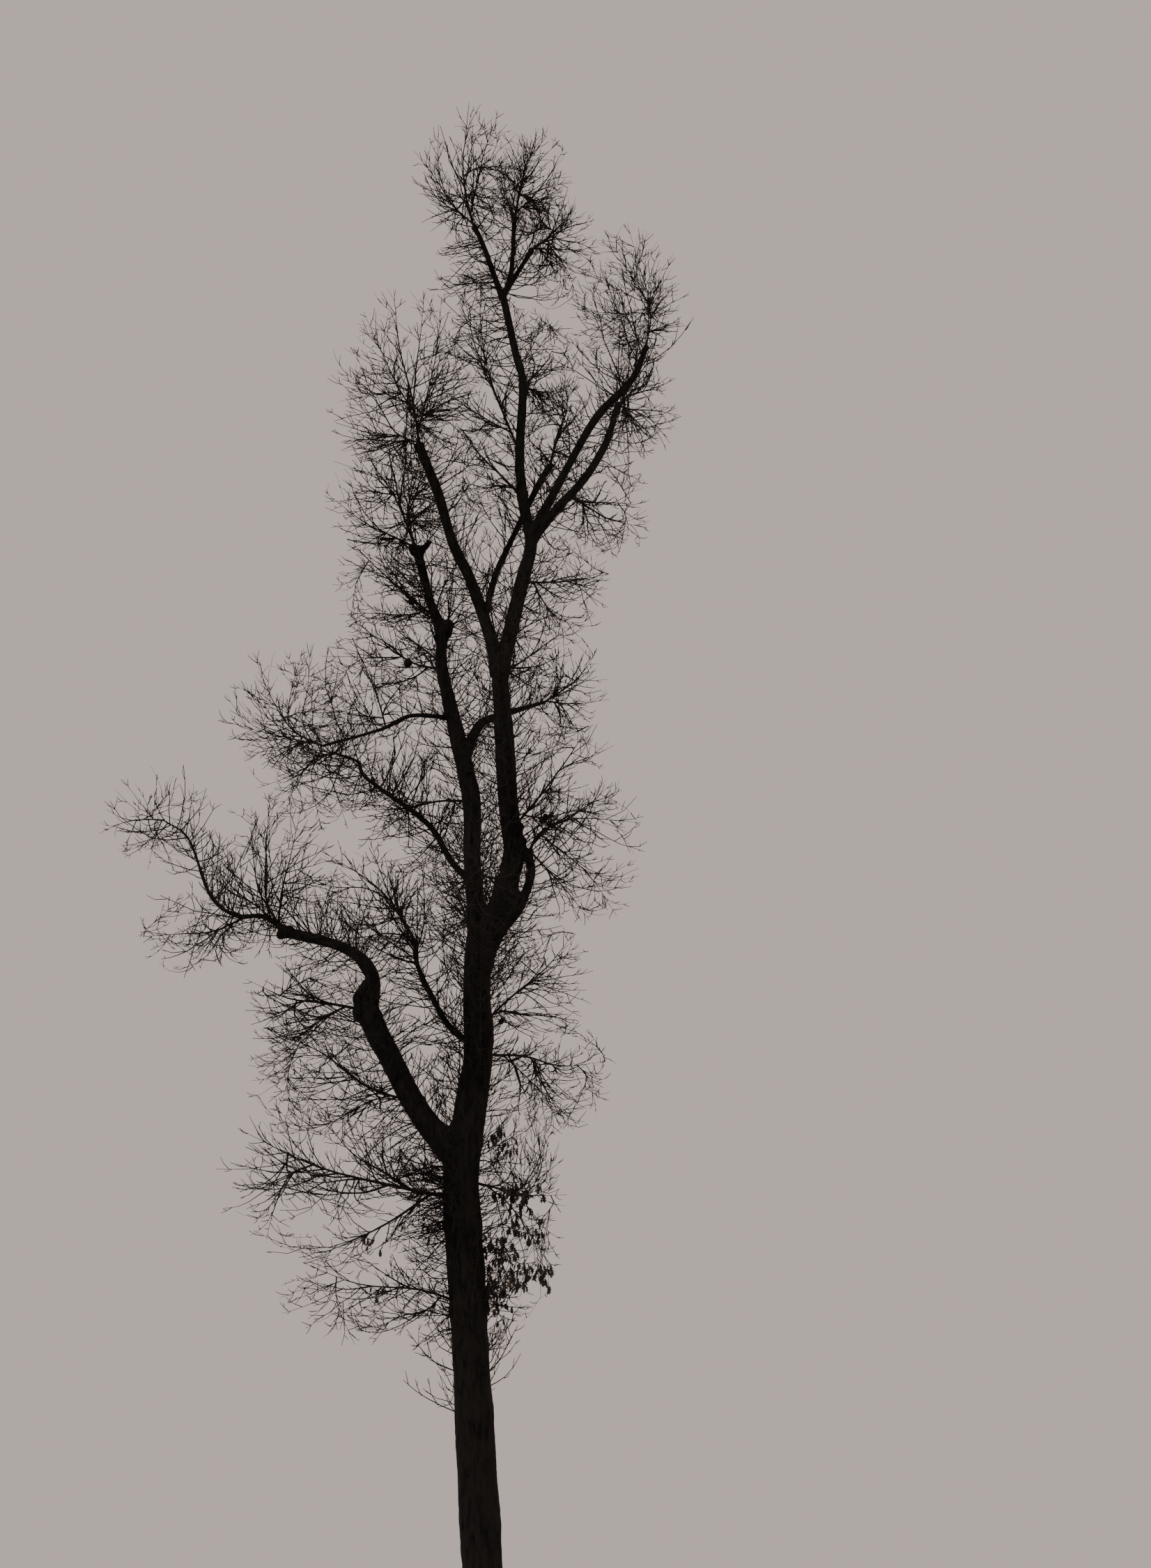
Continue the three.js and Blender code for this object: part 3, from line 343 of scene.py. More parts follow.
def growStems(mass, limb, seed):
    # the first stem goes on from its limb into the space, and the others fork from it
    rule = stemRule
    random = seeded(seed * seeds["perMass"] + seeds["stems"])
    share, thick, space = mass["share"], mass["thick"], mass["space"]
    onTip = share == 1
    root = limb.at(share)
    aim = unit(np.array(space[0]) - root)
    out = limb.along(1) if onTip else aim.copy()
    aim[2] += rule["lift"] / 2
    aim = unit(aim)
    length = wayOut(space, root, aim)
    onward, aimed = rule["leaving"]
    pull = root + out * length * onward + aim * length * aimed
    first = bentLine(root, pull, aim, length, thick, random)
    hidden = 0 if onTip else limb.radius(share) / length
    stems = [(first, hidden)]
    forks = rule["tipForks" if onTip else "sideForks"]
    away, onward = rule["forkLeaving"]
    for number in range(1, mass["stems"] + rule["more"]):
        fork = hidden + (1 - hidden) * between(forks, (number - 1) / (mass["stems"] - 1))
        root = first.at(fork)
        tilt = between(rule["spread"], number * goldenShare % 1)
        turn = goldenTurn * number + next(random)
        axis = unit(np.array(space[0]) - root)
        aim = leaning(axis, tilt, turn, rule["lift"])
        out = leaning(axis, tilt * rule["forkWider"], turn, rule["forkDroop"])
        out = out * away + first.along(fork) * onward
        length = min(wayOut(space, root, aim), rule["longest"])
        thin = thick * rule["thinner"] * (1 - fork / 2)
        line = bentLine(root, root + out * length * rule["forkBow"], aim, length, thin, random)
        if length > rule["shortest"]:
            stems.append((line, 0))
    return stems


def spiralWay(number):
    # evenly spread directions, however many are taken
    first, second = [(0.5 + number * step) % 1 for step in evenSteps]
    tall, turn = 1 - 2 * first, 2 * math.pi * second
    flat = math.sqrt(1 - tall * tall)
    return np.array([flat * math.cos(turn), flat * math.sin(turn), tall])


def thickness(rule, length):
    # a twig's radius at its root: the least, and more for each metre of length
    return rule["radius"][0] + rule["radius"][1] * length


def growShoots(mass, stems, seed):
    # each shoot aims at its own place on the edge of the space, and leaves the stems where
    # the way there is shortest and turns least
    rule = shootRule
    centre, half = np.array(mass["centre"]), np.array(mass["half"])
    berths = []
    for line, hidden in stems:
        for share in np.linspace(hidden + (1 - hidden) * rule["first"], rule["last"], rule["berths"]):
            berths.append((line.at(share), line.along(share), line.radius(share)))
    places, ways, radii = [np.array(column) for column in zip(*berths)]
    rows = []
    for number in range(round(mass["shoots"] * rule["more"] * mass["full"])):
        random = seeded(seed * seeds["perMass"] + number)
        goal = centre + half * spiralWay(number) * between(rule["fill"], next(random))
        offset = goal - places
        far = np.linalg.norm(offset, axis=1)
        turned = (offset * ways).sum(1) / far
        chance = np.array([next(random) for _ in berths])
        turn = 1 + rule["turning"] * (1 - turned)
        fall = 1 + rule["falling"] * np.maximum(-offset[:, 2] / far - rule["steepFall"], 0)
        best = int(np.argmin(far * turn * fall * (1 + rule["chance"] * chance)))
        root, along = places[best], ways[best]
        length = min(far[best], rule["longest"])
        if length < rule["shortest"]:
            continue
        aim = offset[best] / far[best]
        bend = np.array([next(random) * 2 - 1, next(random) * 2 - 1, -rule["sag"]]) * rule["crook"]
        out = unit(aim + along * rule["follow"])
        most = max(radii[best] * rule["thinner"], rule["thinnest"])
        pull = root + out * length / 2 + bend * length * 2
        rows.append((root, pull, root + aim * length, min(thickness(rule, length), most), length))
    return twigsOf(rows)


def stretchesOf(lines):
    # a stem's stretches as short arcs, which bear side twigs as a shoot does
    rows = []
    for line, _ in lines:
        for number in range(line.stretches):
            start, end = number / line.stretches, (number + 1) / line.stretches
            root, middle, tip = line.at(start), line.at((start + end) / 2), line.at(end)
            pull = 2 * middle - (root + tip) / 2
            rows.append((root, pull, tip, line.radius(start), np.linalg.norm(tip - root)))
    return twigsOf(rows)


# Finer twigs carry the rule on, in pairs along whatever bears them.
pairRule = dict(scatter=0.3, within=(0.03, 0.985), turnOn=0.7, swing=0.5, taper=0.75)
sideTwigs = dict(
    pairsPerMetre=2.4, first=0.16, last=0.98, tilt=(0.45, 0.95), lift=0.3, long=0.42, short=0.12,
    fall=0.8, vary=(0.3, 1.2), most=0.65, reach=1.1, shortest=0.06, keep=0.75, crook=0.09,
    radius=(0.0085, 0.0035), thinnest=0.0075)
stemTwigs = dict(sideTwigs, first=0.08, last=0.99, long=0.7, short=0.15, most=0.7, pairsPerMetre=3)
limbSideTwigs = dict(sideTwigs, first=0.36, pairsPerMetre=2.2)
fineTwigs = dict(
    sideTwigs, pairsPerMetre=3.4, first=0.2, lift=0.25, long=0.45, vary=(0.4, 1.1), most=0.26,
    reach=1.15, keep=0.44, radius=(0.0068, 0.003), thinnest=0.0062)


def sprout(parents, space, random, rule):
    # pairs of twigs along each parent, every second pair crosswise to the one before it
    pairs = np.maximum(np.round(parents.length * rule["pairsPerMetre"]), 1).astype(int)
    which = np.repeat(np.arange(len(pairs)), pairs * 2)
    place = np.arange(len(which)) - np.repeat(np.cumsum(pairs * 2) - pairs * 2, pairs * 2)
    pair, count = place // 2, len(which)
    scatter, swing = pairRule["scatter"], pairRule["swing"]
    onward = (pair + random.uniform(-scatter, scatter, count) + 0.5) / pairs[which]
    share = np.clip(between((rule["first"], rule["last"]), onward), *pairRule["within"])
    turn = math.pi * (place % 2) + (pair % 2) * math.pi / 2 + which * pairRule["turnOn"]
    turn = turn + random.uniform(-swing, swing, count)
    tilt = random.uniform(*rule["tilt"], count)
    root, along = parents.at(which, share), parents.along(which, share)
    out = leaningAll(along, tilt, turn, 0)
    aim = leaningAll(along, tilt, turn, rule["lift"])
    grown = parents.length[which] * (rule["long"] * (1 - share) ** rule["fall"] + rule["short"])
    grown = np.minimum(grown * random.uniform(*rule["vary"], count), rule["most"])
    length = np.minimum(grown, wayOutAll(space, root, aim) * rule["reach"])
    crook = random.normal(0, rule["crook"], (count, 3)) * length[:, None]
    pull = root + out * length[:, None] / 2 + crook
    thick = np.minimum(thickness(rule, length), parents.radius[which] * (1 - pairRule["taper"] * share))
    thick = np.maximum(thick, rule["thinnest"])
    keep = (length > rule["shortest"]) & (random.uniform(0, 1, count) < rule["keep"])
    end = root + aim * length[:, None]
    return Twigs(root[keep], pull[keep], end[keep], thick[keep], length[keep])


# Young shoots stand all along the trunk's upper part and the limbs.
limbShoots = dict(
    perMetre=20, onLimb=(0.06, 1), onTrunk=(0.36, 0.94), trunkGather=1.25, tilt=(0.8, 1.65),
    lift=0.35, droop=-0.1, lowest=-0.4, fill=(0.5, 1.1), longest=(0.5, 2.1), fewLong=1.2,
    outside=1.0, crook=0.13, radius=(0.0084, 0.0035))
# How many of them some limbs bear, next to the others.
shagginess = dict(trunk=1.2, left_bough_lower=1.5, left_bough_elbow=1.8, lower_middle_limb=1.7,
                  left_stem=1, inner_stem=1.3, middle_left_limb=1.1, upper_left_limb=0.6)


def wayInside(spaces, root, aim):
    # how far a line runs inside the masses' spaces that hold its root
    way = 0
    for centre, half in spaces:
        if (((root - np.array(centre)) / np.array(half)) ** 2).sum() < 1:
            way = max(way, wayOut((centre, half), root, aim))
    return way


def growLimbShoots(lines, spaces):
    rule = limbShoots
    rows = []
    for order, (name, line) in enumerate(lines.items()):
        first, last = rule["onTrunk" if name == "trunk" else "onLimb"]
        count = round(line.length() * (last - first) * rule["perMetre"] * shagginess.get(name, 1))
        random = seeded(seeds["limbShoots"] + order)
        parts = [(number + next(random)) / count for number in range(count)]
        if name == "trunk":
            parts = [((part + next(random)) / 2) ** rule["trunkGather"] for part in parts]
        for number, share in enumerate(line.evenShares(first, last, parts)):
            root, along = line.at(share), line.along(share)
            tilt = between(rule["tilt"], next(random))
            turn = goldenTurn * number + next(random)
            out = leaning(along, tilt, turn, rule["droop"])
            aim = leaning(along, tilt, turn, rule["lift"])
            aim[2] = max(aim[2], rule["lowest"])
            aim = unit(aim)
            way = wayInside(spaces, root, aim) or rule["outside"]
            longest = between(rule["longest"], next(random) ** rule["fewLong"])
            length = line.radius(share) + min(way * between(rule["fill"], next(random)), longest)
            bend = sway(random) * rule["crook"]
            pull = root + out * length / 2 + bend * length
            rows.append((root, pull, root + aim * length, thickness(rule, length), length))
    return twigsOf(rows)


# Thickets, dense sprouts on old wood: limb, stretch of it, side, how many, how long and droop.
thickets = [
    ("trunk", (0.64, 0.69), (-1, -0.4, 0), 24, (0.9, 1.9), 0.1),
    ("trunk", (0.585, 0.65), (-1, -0.6, 0), 84, (0.6, 1.6), -0.35),
    ("trunk", (0.46, 0.63), (-1, -0.3, 0), 48, (0.4, 1.3), -0.3),
    ("trunk", (0.5, 0.69), (1, -0.2, 0), 60, (0.5, 1.3), 0.1),
    ("left_stem", (0.78, 0.99), (-0.4, -0.2, 0), 36, (0.5, 1.3), 0.3),
    ("top_left_arm", (0.1, 0.8), (-1, 0, -0.2), 26, (0.7, 1.3), -0.1),
    ("leader_stem", (0.88, 0.99), (-1, 0, -0.1), 20, (0.6, 1.3), -0.1),
    ("leader_stem", (0.72, 0.9), (1, 0, 0.2), 12, (0.4, 1), 0.1),
    ("left_bough_lower", (0.1, 0.5), (-1, -0.3, -0.5), 22, (0.8, 1.9), -0.25),
    ("left_bough_lower", (0.4, 0.9), (1, -0.2, 0.5), 18, (0.6, 1.3), 0.3),
    ("left_bough_lower", (0.7, 1), (1, 0, 0.4), 20, (0.5, 1.1), 0.2),
    ("left_bough_elbow", (0.35, 0.8), (0.2, 0, 1), 22, (0.7, 1.5), 0.5),
    ("upper_right_front_limb", (0.55, 0.95), (-1, 0, 0.6), 6, (0.8, 1.7), 0.4),
    ("middle_left_limb", (0.3, 0.7), (0.2, 0, 1), 32, (0.7, 1.6), 0.4),
    ("middle_left_limb", (0.5, 0.95), (-0.3, 0, -1), 26, (0.5, 1.1), -0.2),
    ("left_bough_tip", (0.05, 0.5), (-0.2, 0, 1), 22, (0.5, 1.3), 0.5),
    ("lower_middle_limb", (0.5, 1), (-1, 0, 0.1), 24, (0.5, 1.1), 0),
    ("lower_middle_limb", (0.9, 1), (-0.2, 0, 1), 10, (1.5, 2.3), 0.5),
    ("trunk", (0.64, 0.7), (-1, -0.4, 0.2), 16, (1.2, 2.2), 0),
    ("left_bough_tip", (0, 0.4), (-0.2, 0, -1), 12, (0.4, 1), -0.3),
    ("left_bough_tip", (0.4, 0.85), (0.5, 0, 0.5), 16, (0.4, 1), 0.3),
]
thicketRule = dict(scatter=(0.8, 0.8, 0.35), vary=(0.5, 1), crook=0.2)


def growThickets(lines):
    # sprouts that start to one side of a limb and then lift or droop
    rule = thicketRule
    rows = []
    for order, (limb, stretch, side, count, longest, droop) in enumerate(thickets):
        line = lines[limb]
        random = seeded(seeds["thickets"] + order)
        for share in line.evenShares(*stretch, [next(random) for _ in range(count)]):
            root = line.at(share)
            way = unit(unit(np.array(side, float)) + sway(random) * rule["scatter"])
            length = between(longest, next(random)) * between(rule["vary"], next(random))
            end = way + np.array([0, 0, droop]) + sway(random) * rule["crook"]
            pull = root + (way + sway(random) * rule["crook"]) * length / 2
            rows.append((root, pull, root + unit(end) * length, thickness(limbShoots, length), length))
    return twigsOf(rows)


# Burrs: round knots of callus on twigs of their own.
burrs = [
    dict(limb="left_stem", share=0.6, place=(-1.47, 0.3, 17.5), size=0.085),
    dict(limb="left_stem", share=0.79, place=(-1.42, 0.35, 18.6), size=0.08),
    dict(limb="trunk", share=0.64, place=(0.14, -0.3, 11.3), size=0.06),
    dict(limb="right_stem", share=0.58, place=(0.86, -0.5, 14.66), size=0.07),
]
burrRule = dict(tall=1.1, radius=0.017, sag=0.12, spurs=14, spurLength=(0.09, 0.2), spurCrook=0.04,
                spurRadius=0.012)


def growBurrTwigs(lines):
    # a twig to each burr, and short spurs that bristle from it
    rule = burrRule
    rows = []
    for order, burr in enumerate(burrs):
        random = seeded(seeds["burrs"] + order)
        root, end = lines[burr["limb"]].at(burr["share"]), np.array(burr["place"])
        length = np.linalg.norm(end - root)
        pull = (root + end) / 2 - np.array([0, 0, rule["sag"]]) * length
        rows.append((root, pull, end, rule["radius"], length))
        for _ in range(rule["spurs"]):
            spur = unit(sway(random)) * between(rule["spurLength"], next(random))
            middle = end + (spur + sway(random) * rule["spurCrook"]) / 2
            rows.append((end, middle, end + spur, rule["spurRadius"], np.linalg.norm(spur)))
    return twigsOf(rows)


def meshObject(name, points, edges, faces):
    mesh = bpy.data.meshes.new(name)
    mesh.from_pydata(points, edges, faces)
    thing = bpy.data.objects.new(name, mesh)
    bpy.context.scene.collection.objects.link(thing)
    return thing


def plainMesh(source, name, material):
    # what the modifiers make becomes a plain mesh, and its source goes
    bpy.context.view_layer.update()
    evaluated = source.evaluated_get(bpy.context.evaluated_depsgraph_get())
    mesh = bpy.data.meshes.new_from_object(evaluated)
    mesh.name = name
    if not mesh.materials:
        mesh.materials.append(material)
    piece = bpy.data.objects.new(name, mesh)
    bpy.context.scene.collection.objects.link(piece)
    spent = source.data
    bpy.data.objects.remove(source)
    bpy.data.meshes.remove(spent)
    return piece


def applyTree(source, tree, values):
    # a Geometry Nodes modifier, its inputs set by the sockets' identifiers
    modifier = source.modifiers.new(tree.name, "NODES")
    modifier.node_group = tree
    for item in tree.interface.items_tree:
        if item.item_type == "SOCKET" and item.in_out == "INPUT" and item.name in values:
            modifier[item.identifier] = values[item.name]


def startTree(name, inputs):
    # a Geometry Nodes tree with named inputs: the kind of each, and the value it starts with
    tree = bpy.data.node_groups.new(name, "GeometryNodeTree")
    for label, (kind, start) in inputs.items():
        socket = tree.interface.new_socket(name=label, in_out="INPUT", socket_type="NodeSocket" + kind)
        if start is not None:
            socket.default_value = start
    tree.interface.new_socket(name="Result", in_out="OUTPUT", socket_type="NodeSocketGeometry")
    given = tree.nodes.new("NodeGroupInput").outputs
    return tree, tree.nodes.new, tree.links.new, given


def finishTree(tree, geometry, material):
    # each tree ends in Realize Instances and Set Material
    kinds = ("GeometryNodeRealizeInstances", "GeometryNodeSetMaterial", "NodeGroupOutput")
    real, paint, result = [tree.nodes.new(kind) for kind in kinds]
    tree.links.new(geometry, real.inputs["Geometry"])
    tree.links.new(real.outputs["Geometry"], paint.inputs["Geometry"])
    tree.links.new(material, paint.inputs["Material"])
    tree.links.new(paint.outputs["Geometry"], result.inputs["Result"])
    return tree


def namedAttribute(add, name, kind):
    node = add("GeometryNodeInputNamedAttribute")
    node.data_type = kind
    node.inputs["Name"].default_value = name
    return node.outputs["Attribute"]


# Strands: every stem and twig is a row of edges with a thickness, which Geometry Nodes skin.
strandRules = {
    "shoots": dict(bends=6, taper=0.66, kink=0.012),
    "side_twigs": dict(bends=2, taper=0.45, kink=0.02),
    "fine_twigs": dict(bends=1, taper=0.25, kink=0.03),
    "limb_shoots": dict(bends=5, taper=0.6, kink=0.015),
    "limb_side_twigs": dict(bends=2, taper=0.45, kink=0.02),
    "limb_fine_twigs": dict(bends=1, taper=0.25, kink=0.03),
}
strandSizes = dict(stemBends=12, stemThinnest=0.003, stemCorners=6, corners=3, mostTriangles=190000)


def strandsOf(twigs, random, bends, taper, kink):
    shares = np.linspace(0, 1, bends + 1)
    parts = []
    for step, share in enumerate(shares):
        places = twigs.at(slice(None), np.full(len(twigs.length), share))
        loose = kink * math.sin(math.pi * share) if 0 < step < bends else 0
        parts.append(places + random.normal(0, 1, places.shape) * (twigs.length * loose)[:, None])
    places = np.stack(parts, 1)
    radii = twigs.radius[:, None] * (1 - taper * shares[None, :])
    return places, radii


def stemStrands(stems):
    rows = []
    for line, _ in stems:
        shares = np.linspace(0, 1, strandSizes["stemBends"] + 1)
        places = np.array([line.at(share) for share in shares])
        radii = np.array([max(line.radius(share), strandSizes["stemThinnest"]) for share in shares])
        rows.append((places[None], radii[None]))
    return rows


def strandTriangles(rows, corners):
    # how many triangles the strands' skins have, with their flat ends
    return sum(len(radii) * ((radii.shape[1] - 1) * corners + corners - 2) * 2 for _, radii in rows)


def strandPiece(name, rows, corners, tree, material):
    placeRows, radiusRows, edgeRows = [], [], []
    total = 0
    for places, radii in rows:
        ids = total + np.arange(radii.size).reshape(radii.shape)
        edgeRows.append(np.stack([ids[:, :-1].ravel(), ids[:, 1:].ravel()], 1))
        placeRows.append(places.reshape(-1, 3))
        radiusRows.append(radii.ravel())
        total += radii.size
    strands = meshObject(
        name + "_strands", np.concatenate(placeRows).tolist(), np.concatenate(edgeRows).tolist(), [])
    thick = strands.data.attributes.new("thick", "FLOAT", "POINT")
    thick.data.foreach_set("value", np.concatenate(radiusRows).astype(np.float32))
    applyTree(strands, tree, {"Sides": corners, "Material": material})
    return plainMesh(strands, name, material)


def makeStrandTree():
    tree, add, link, given = startTree("strand_skin", {
        "Strands": ("Geometry", None), "Sides": ("Int", 3), "Material": ("Material", None)})
    curve, profile, skin = [add("GeometryNode" + kind) for kind in (
        "MeshToCurve", "CurvePrimitiveCircle", "CurveToMesh")]
    profile.inputs["Radius"].default_value = 1
    skin.inputs["Fill Caps"].default_value = True
    link(given["Strands"], curve.inputs["Mesh"])
    link(given["Sides"], profile.inputs["Resolution"])
    link(curve.outputs["Curve"], skin.inputs["Curve"])
    link(profile.outputs["Curve"], skin.inputs["Profile Curve"])
    link(namedAttribute(add, "thick", "FLOAT"), skin.inputs["Scale"])
    return finishTree(tree, skin.outputs["Mesh"], given["Material"])


# Bark: each limb is a round skin, with a collar where it leaves its carrier and a knuckle
# of old callus where it was topped. Skins that join are remeshed as one, then get relief.
trunkLimbs = ("trunk", "left_bough_lower", "left_stem", "right_stem", "knee_limb")
barkSkins = {
    "trunk_bark": dict(limbs=trunkLimbs, seed=10, voxel=0.034, relief=0.013, bumps=0.012),
    "boughs_bark": dict(limbs=tuple(name for name in limbs if name not in trunkLimbs),
                        seed=11, voxel=0.024, relief=0.005, bumps=0.007),
}
skinSizes = dict(sides=24, ring=0.08, fewestRings=4, trunkGather=1.15, collar=0.28, collarLength=2.2,
                 uneven=0.05, unevenEvery=0.35, unevenPast=0.5, oval=0.03, ovalTurn=1.7,
                 levelBelow=0.6)
skinFinish = dict(soften=0.5, softenings=4, flatBelow=0.012)
# Knots: share of the limb, side it looks to, size, and how far it stands off the limb's skin.
knots = {
    "left_stem": [(0.715, (1, -0.4, 0.2), 0.14, 0), (0.73, (0.9, -0.3, 0.4), 0.11, 0.06),
                  (0.69, (-1, 0, 0), 0.09, 0), (1, (-0.9, 0, 0.2), 0.1, 0),
                  (1, (0.9, -0.2, 0.3), 0.1, 0), (1, (0.9, 0, 0.6), 0.065, 0.12),
                  (1, (0.9, 0, 0.75), 0.05, 0.2), (1, (-0.9, 0, 0.5), 0.05, 0.08)],
    "left_bough_lower": [(0.9, (-1, -0.2, 0.3), 0.17, 0), (0.78, (-1, -0.4, 0), 0.15, 0),
                         (1, (-0.3, 0, 1), 0.13, 0)],
    "left_bough_elbow": [(0.97, (-0.3, -0.3, 0.6), 0.08, 0), (1, (-0.8, 0, -0.4), 0.09, 0.02)],
    "right_stem": [(0.6, (0.9, -0.4, 0), 0.1, 0), (0.66, (1, -0.2, 0.3), 0.08, 0)],
    "knee_limb": [(1, (0.6, 0, 0.4), 0.075, 0)],
}
knotRule = dict(sunk=0.3, tall=(0.8, 1.15), atTip=4, tipOut=0.55, tipSize=0.8)


def framesAlong(places):
    # side and up directions at each place, turned as little as possible
    ways = unit(np.gradient(places, axis=0))
    side = np.array([1.0, 0, 0]) if abs(ways[0][0]) < steepest else np.array([0, 1.0, 0])
    rows = []
    for way in ways:
        side = unit(side - way * side.dot(way))
        rows.append((side, np.cross(side, way)))
    return rows


def flare(height, angle):
    rim = rootFlare["spread"] + rootFlare["lobeDepth"] * np.cos(
        rootFlare["lobes"] * angle + rootFlare["turn"])
    return 1 + math.exp(-height / rootFlare["height"]) * rim


def ringFaces(rings, sides, start=0):
    # four-sided faces between rings of points, from the first point of the lowest ring on
    faces = []
    for ring in range(rings):
        low = start + ring * sides
        for i in range(sides):
            j = (i + 1) % sides
            faces.append((low + i, low + j, low + sides + j, low + sides + i))
    return faces


def limbSkin(name, line, random):
    # points and faces of a closed round skin
    sizes = skinSizes
    sides = sizes["sides"]
    count = max(round(line.length() / sizes["ring"]), sizes["fewestRings"])
    shares = np.linspace(0, 1, count + 1)
    if name == "trunk":
        shares = shares ** sizes["trunkGather"]
    places = np.array([line.at(share) for share in shares])
    radii = np.array([line.radius(share) for share in shares])
    travelled = line.travelled(shares)
    if name != "trunk":
        fall = travelled / (radii[0] * sizes["collarLength"])
        radii = radii * (1 + sizes["collar"] * np.exp(-fall * fall))
    marks = np.arange(0, travelled[-1] + sizes["unevenPast"], sizes["unevenEvery"])
    slow = np.interp(travelled, marks, random.uniform(-1, 1, len(marks)))
    radii = radii * (1 + sizes["uneven"] * slow)
    angles = np.arange(sides) * 2 * math.pi / sides
    rings = []
    for place, radius, far, (side, up) in zip(places, radii, travelled, framesAlong(places)):
        wide = flare(place[2], angles) if name == "trunk" else np.ones(sides)
        wide = wide * (1 + sizes["oval"] * np.cos(2 * angles + far * sizes["ovalTurn"]))
        around = np.cos(angles)[:, None] * side + np.sin(angles)[:, None] * up
        if name == "trunk" and place[2] < sizes["levelBelow"]:
            around[:, 2] = 0
        rings.append(place + around * (radius * wide)[:, None])
    faces = ringFaces(count, sides)
    faces.append(tuple(range(sides))[::-1])
    faces.append(tuple(count * sides + i for i in range(sides)))
    return np.concatenate(rings), faces


def ball(centre, size, tall, rings=8, sides=12):
    # a small closed ball of rings, for knots and callus
    points = [centre + np.array([0, 0, -size * tall])]
    for ring in range(1, rings):
        rise = math.pi * ring / rings
        for i in range(sides):
            angle = 2 * math.pi * i / sides
            flat = math.sin(rise) * size
            points.append(centre + np.array([
                math.cos(angle) * flat, math.sin(angle) * flat, -math.cos(rise) * size * tall]))
    points.append(centre + np.array([0, 0, size * tall]))
    top, low = len(points) - 1, 1 + (rings - 2) * sides
    faces = [(0, 1 + (i + 1) % sides, 1 + i) for i in range(sides)]
    faces += ringFaces(rings - 2, sides, 1)
    faces += [(low + i, low + (i + 1) % sides, top) for i in range(sides)]
    return np.array(points), faces


def knotsOf(name, line, random):
    rule = knotRule
    rows = []
    for share, side, size, off in knots.get(name, ()):
        out = line.radius(share) - size * rule["sunk"] + off
        centre = line.at(share) + unit(np.array(side, float)) * out
        rows.append(ball(centre, size, random.uniform(*rule["tall"])))
    if name != "trunk":
        radius = line.radii[-1]
        for _ in range(rule["atTip"]):
            around = unit(random.normal(0, 1, 3)) * radius * rule["tipOut"]
            rows.append(ball(line.at(1) + around, radius * rule["tipSize"], 1))
    return rows


# The bark's relief: long ridges between sharp furrows, over slow swellings.
reliefRule = dict(ridgeScale=(11, 11, 1.7), ridgeDetail=3, furrowDepth=5, furrowShare=0.6,
                  bumpScale=3.2, bumpDetail=2, bumpDepth=2, riseFromGround=20)


def makeReliefTree():
    rule = reliefRule
    tree, add, link, given = startTree("bark_relief", {
        "Skin": ("Geometry", None), "Ridge Depth": ("Float", 0.01), "Bump Depth": ("Float", 0.01),
        "Ridge Scale": ("Vector", rule["ridgeScale"]), "Material": ("Material", None)})
    middle = 0.5  # of what a noise gives

    def maths(operation, *values):
        node = add("ShaderNodeMath")
        node.operation = operation
        for i, value in enumerate(values):
            if hasattr(value, "is_linked"):
                link(value, node.inputs[i])
            else:
                node.inputs[i].default_value = value
        return node.outputs[0]

    def vector(operation, first, second):
        node = add("ShaderNodeVectorMath")
        node.operation = operation
        link(first, node.inputs[0])
        link(second, node.inputs[3 if operation == "SCALE" else 1])
        return node.outputs[0]

    def noiseAt(where, scale, detail):
        node = add("ShaderNodeTexNoise")
        node.inputs["Scale"].default_value = scale
        node.inputs["Detail"].default_value = detail
        link(where, node.inputs["Vector"])
        return node.outputs[0]

    place, normal = [add("GeometryNodeInput" + kind).outputs[0] for kind in ("Position", "Normal")]
    ridges = noiseAt(vector("MULTIPLY", place, given["Ridge Scale"]), 1, rule["ridgeDetail"])
    bumps = noiseAt(place, rule["bumpScale"], rule["bumpDetail"])
    ridge = maths("ABSOLUTE", maths("SUBTRACT", ridges, middle))
    furrow = maths("SUBTRACT", maths("MULTIPLY", ridge, rule["furrowDepth"]), rule["furrowShare"])
    swell = maths("MULTIPLY", maths("SUBTRACT", bumps, middle), rule["bumpDepth"])
    deep = maths("ADD", maths("MULTIPLY", furrow, given["Ridge Depth"]),
                 maths("MULTIPLY", swell, given["Bump Depth"]))
    # the foot stays flat on the ground
    height = add("ShaderNodeSeparateXYZ")
    link(place, height.inputs[0])
    rise = maths("MINIMUM", maths("MULTIPLY", height.outputs[2], rule["riseFromGround"]), 1)
    offset = vector("SCALE", normal, maths("MULTIPLY", deep, maths("MAXIMUM", rise, 0)))
    moved, smooth = add("GeometryNodeSetPosition"), add("GeometryNodeSetShadeSmooth")
    link(given["Skin"], moved.inputs["Geometry"])
    link(offset, moved.inputs["Offset"])
    link(moved.outputs[0], smooth.inputs[0])
    return finishTree(tree, smooth.outputs[0], given["Material"])


